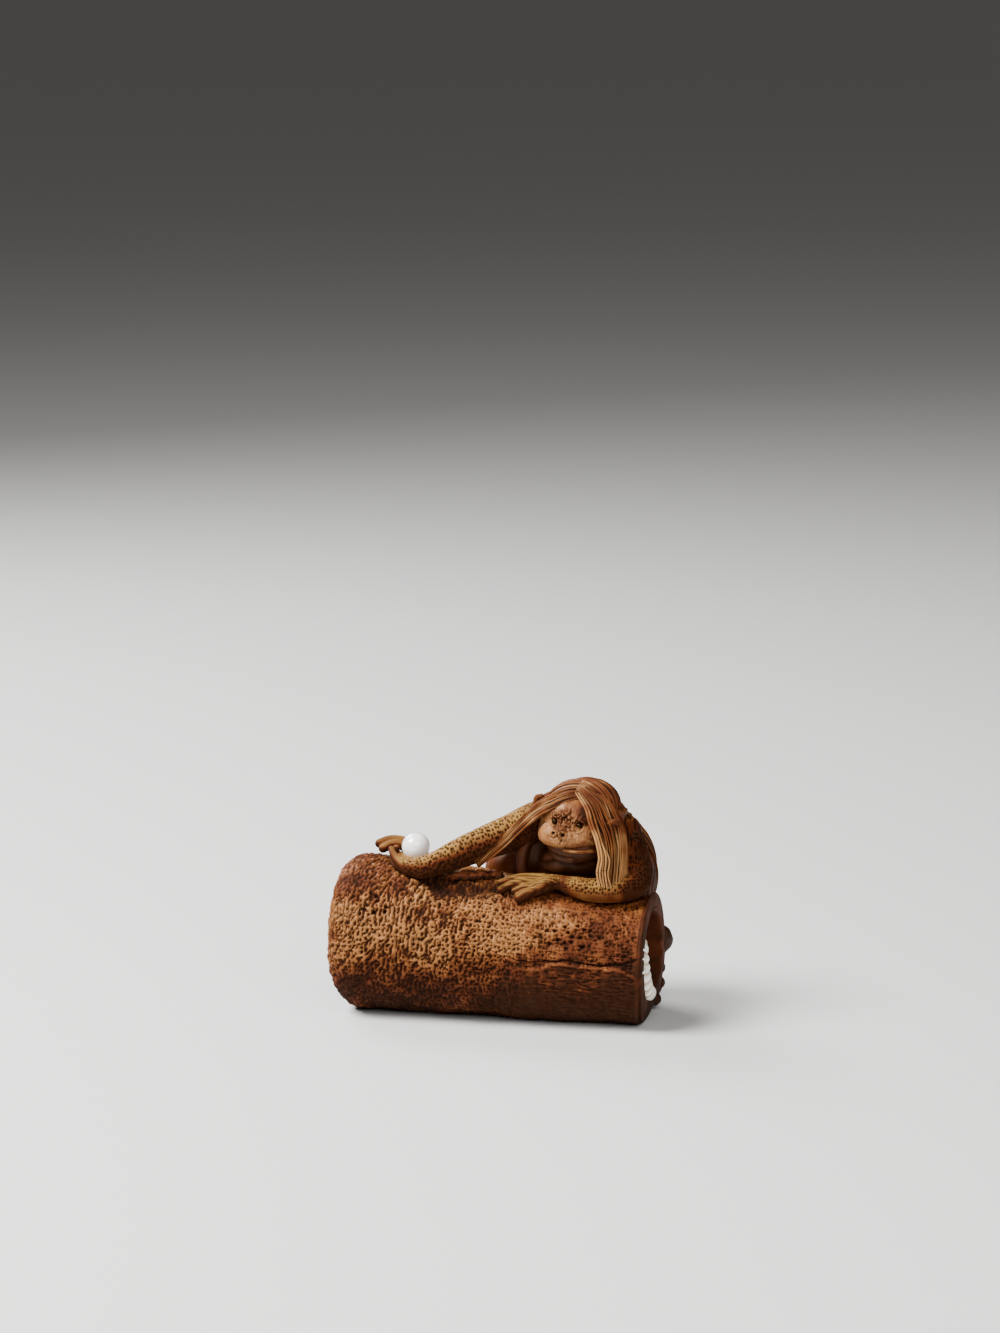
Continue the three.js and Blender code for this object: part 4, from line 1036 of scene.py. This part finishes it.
# %% Nodes
def linear(colour):
    """A colour written as sRGB hex, in the linear values that shaders use, with alpha 1."""
    s = np.array([int(colour[i : i + 2], 16) / 255 for i in (1, 3, 5)])
    return (*np.where(s <= 0.04045, s / 12.92, ((s + 0.055) / 1.055) ** 2.4), 1.0)


def node(tree, kind, settings=None, links=None, output=0):
    """Adds a node and gives its output, the first if no other is named. Settings are its properties and the
    values of its inputs, and stops are the (place, colour) pairs of a colour ramp. Links give the output
    that feeds each input."""
    made = tree.nodes.new("ShaderNode" + kind)
    for key, value in (settings or {}).items():
        if key == "stops":
            elements = made.color_ramp.elements
            while len(elements) < len(value):
                elements.new(0.5)
            for element, (place, colour) in zip(elements, value):
                element.position, element.color = place, linear(colour)
        elif isinstance(key, int) or key in made.inputs:
            made.inputs[key].default_value = value
        else:
            setattr(made, key, value)
    for key, source in (links or {}).items():
        tree.links.new(source, made.inputs[key])
    return made.outputs[output] if made.outputs else None


def new_material(name):
    """An empty material and its node tree."""
    material = bpy.data.materials.new(name)
    material.use_nodes = True
    material.node_tree.nodes.clear()
    return material, material.node_tree

# %% A carving's finish
CLOUD_SIZE, UNEVENNESS = 1.1, 0.15  # mm across a cloud of stain, and how much it adds or takes away
PORE_SIZE, PORE_DEPTH = 0.3, 0.1  # mm; real pores are about 0.05 across, and are drawn coarser, to show
FIBRES = "#FFEBD4"  # light that comes back off the fibres is the wood's own colour, so highlights are tinted


def carved(name, shine, stains, in_hollows, smoothest, roughest=0.9):
    """Colour runs through the stains by how deeply a place is stained, a number that carries painted shade
    too, and goes over to another colour in the hollows and in painted shade. Roughness rises from smoothest
    to roughest in the same way, because only high places get rubbed."""
    material, tree = new_material(name)
    place = node(tree, "TexCoord", output="Object")
    hollow, stain = (node(tree, "Attribute", {"attribute_name": key}, output="Fac")
                     for key in ("hollow", "stain"))
    cloud = node(tree, "TexNoise", {"Scale": 1 / (CLOUD_SIZE * MM), "Detail": 4.0}, {"Vector": place})
    uneven = node(tree, "MapRange", {"To Min": -UNEVENNESS, "To Max": UNEVENNESS}, {"Value": cloud})
    level = node(tree, "Math", {"operation": "ADD"}, {0: stain, 1: uneven})
    surface = node(tree, "ValToRGB", {"stops": stains}, {"Fac": level})
    colour = node(tree, "Mix", {"data_type": "RGBA", 7: linear(in_hollows)}, {0: hollow, 6: surface}, 2)
    dull = node(tree, "Math", {"operation": "ADD"}, {0: hollow, 1: level})
    rough = node(tree, "MapRange", {"To Min": smoothest, "To Max": roughest}, {"Value": dull})
    pores = node(tree, "TexNoise", {"Scale": 1 / (PORE_SIZE * MM), "Detail": 3.0}, {"Vector": place})
    relief = node(tree, "Bump", {"Strength": 0.15, "Distance": PORE_DEPTH * MM}, {"Height": pores})
    shader = node(tree, "BsdfPrincipled", {"Specular IOR Level": shine, "Specular Tint": linear(FIBRES)},
                  {"Base Color": colour, "Roughness": rough, "Normal": relief})
    node(tree, "OutputMaterial", links={"Surface": shader})
    return material

# %% Boxwood and bone
# Boxwood under a brown wash, from the palest honey to the darkest stain.
STAINS = [(0.0, "#8B5A2E"), (0.35, "#653512"), (0.7, "#4A1E08"), (1.0, "#2D1203")]
IN_PITS = "#1D0700"
# Bark: boxwood cut with a small gouge and left. Ridges with a dull sheen stand over pits that hold the stain.
GOUGED = carved("stained boxwood, gouged", 0.2, STAINS, IN_PITS, 0.36)
# Body: boxwood scraped smooth and stained twice. Dark brown folds that still catch soft, wet-looking lights.
RUBBED = carved("stained boxwood, rubbed", 0.22, STAINS, IN_PITS, 0.32, 0.5)
# Face: boxwood scraped and then rubbed by every thumb. Pale wood, dark wrinkles, a small light on each ridge.
HANDLED = carved("stained boxwood, handled", 0.25, [(0.0, "#906139"), (0.35, "#673A1C"), *STAINS[2:]],
                 IN_PITS, 0.28)
# Arms: boxwood stained yellow, then drilled. Honey-coloured skin with near-black dots.
YELLOWED = carved("stained boxwood, yellowed", 0.12, [(0.0, "#8C672E"), (0.35, "#68441E"), *STAINS[2:]],
                  IN_PITS, 0.4)
# Hair: boxwood cut in strands with a V-shaped tool, and waxed. Bright ridges, and thin dark lines between.
POLISHED = carved("stained boxwood, polished", 0.18, [(0.0, "#9C6E40"), *STAINS[1:]], "#160602", 0.34)
# Grub: bone, filed and rubbed with ash. Cream with a satin light, and browner where it is ringed.
BONE = carved("carved bone", 0.4, [(0.2, "#FFFDF4"), (0.9, "#EEE8D6")], "#A08B68", 0.4)
print("carved finishes:", [material.name for material in (GOUGED, RUBBED, HANDLED, YELLOWED, POLISHED, BONE)])

# %% Pearl and horn
def clouded(name, settings, light, dark, cloud_size):
    """One colour that clouds into another. cloud_size is how far it is across a cloud, in millimetres."""
    material, tree = new_material(name)
    place = node(tree, "TexCoord", output="Object")
    cloud = node(tree, "TexNoise", {"Scale": 1 / (cloud_size * MM), "Detail": 3.0}, {"Vector": place})
    colour = node(tree, "ValToRGB", {"stops": [(0.3, dark), (0.7, light)]}, {"Fac": cloud})
    shader = node(tree, "BsdfPrincipled", settings, {"Base Color": colour})
    node(tree, "OutputMaterial", links={"Surface": shader})
    return material


# Pearl: nacre, laid down in layers by the shell. A soft white body under one clear, sharp highlight.
PEARL = clouded("pearl", {"Roughness": 0.16, "IOR": 1.6, "Coat Weight": 1.0, "Coat Roughness": 0.04},
                "#FFFCFA", "#F3ECEA", 1.4)
# Eyes: buffalo horn, turned into beads and polished. Nearly black, with a small amber glint.
HORN = clouded("polished horn",
               {"Roughness": 0.07, "Specular IOR Level": 0.2, "Specular Tint": linear("#FFC07A")},
               "#120803", "#060200", 0.3)
print("clouded finishes:", [material.name for material in (PEARL, HORN)])

# %% Every piece takes its finish and its place in the frame
for made, material, slot, node_name in [
    *((made, material, "boxwood", "carving") for made, material in [
        (log, GOUGED), (bark, GOUGED), (body, RUBBED), (arms, YELLOWED), (face, HANDLED),
        *((fall, POLISHED) for fall in hair)]),
    (pearl, PEARL, "pearl", "pearl"),
    (grub, BONE, "bone", "grub"),
    (eyes[0], HORN, "horn", "eye_right"),
    (eyes[1], HORN, "horn", "eye_left"),
]:
    made.data.materials.clear()
    made.data.materials.append(material)
    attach(made, "root")
    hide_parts(node_name)
print("triangles:", {made.name: sum(len(f.vertices) - 2 for f in made.data.polygons)
                     for made in [log, body, arms, face, bark, pearl, grub, *hair]})

# %% [markdown]
# ## Camera, floor and light
#
# The camera looks down a little, from the mouth's side of the front, through a long lens. The floor is
# plain and pale. One large soft lamp stands high on the left, as a window would, a second behind it draws
# the edges, and a third on the right, with the world, fills the shadows.

# %% Camera
CAMERA_AZIMUTH, CAMERA_ELEVATION = math.radians(13.5), math.radians(9.5)
CAMERA_DISTANCE = 650.0
AIM_HEIGHT = 54.4  # the lens points this far above the log's foot
LENS, SENSOR = 111.8, 36.0
CLIP_START, CLIP_END = 0.01, 100.0  # metres
sin_a, cos_a = math.sin(CAMERA_AZIMUTH), math.cos(CAMERA_AZIMUTH)
sin_p, cos_p = math.sin(CAMERA_ELEVATION), math.cos(CAMERA_ELEVATION)
look = np.array([-sin_a * cos_p, cos_a * cos_p, -sin_p])
upward = np.array([-sin_a * sin_p, cos_a * sin_p, cos_p])
lens = bpy.data.cameras.new("camera")
lens.lens, lens.sensor_width, lens.clip_start, lens.clip_end = LENS, SENSOR, CLIP_START, CLIP_END
camera = placed("camera", lens)
camera.location = (AIM_HEIGHT * upward - CAMERA_DISTANCE * look) * MM
camera.rotation_euler = (math.pi / 2 - CAMERA_ELEVATION, 0, CAMERA_AZIMUTH)
bpy.context.scene.camera = camera
print("camera at, mm:", [round(c / MM) for c in camera.location])

# %% Floor
FLOOR_REACH = 40.0  # metres, so that its edge is out of sight
floor_mesh = bpy.data.meshes.new("floor")
floor_corners = [(FLOOR_REACH * a, FLOOR_REACH * b, 0) for a, b in [(-1, -1), (1, -1), (1, 1), (-1, 1)]]
floor_mesh.from_pydata(floor_corners, [], [(0, 1, 2, 3)])
floor = placed("floor", floor_mesh)
floor_material, floor_tree = new_material("plain pale floor")
floor_shader = node(floor_tree, "BsdfPrincipled", {"Base Color": linear("#D2D1CF"), "Roughness": 0.7})
node(floor_tree, "OutputMaterial", links={"Surface": floor_shader})
floor_mesh.materials.append(floor_material)

# %% Lamps and world
LIT_PLACE = 0, 0, 15  # the middle of the log, in millimetres


def lamp(name, place, size, watts):
    """A square lamp that points at the log: place is in millimetres, and size, the length of a side, in
    metres."""
    light = bpy.data.lights.new(name, "AREA")
    light.energy, light.size = watts, size
    made = placed(name, light)
    made.location = np.array(place) * MM
    ray = np.array(LIT_PLACE) - np.array(place)
    pitch = math.atan2(math.hypot(ray[0], ray[1]), -ray[2])
    made.rotation_euler = (pitch, 0, math.atan2(ray[1], ray[0]) - math.pi / 2)


lamp("window", (-300, -220, 460), 0.3, 10.5)
lamp("rim", (-360, 300, 380), 0.3, 4.0)
lamp("fill", (260, -460, 380), 0.4, 3.2)
world = bpy.data.worlds.new("studio")
world.use_nodes = True
background = world.node_tree.nodes["Background"].inputs
background["Color"].default_value = linear("#ECE9E5")
background["Strength"].default_value = 0.12
bpy.context.scene.world = world
print("lamps:", [light.name for light in bpy.data.lights])
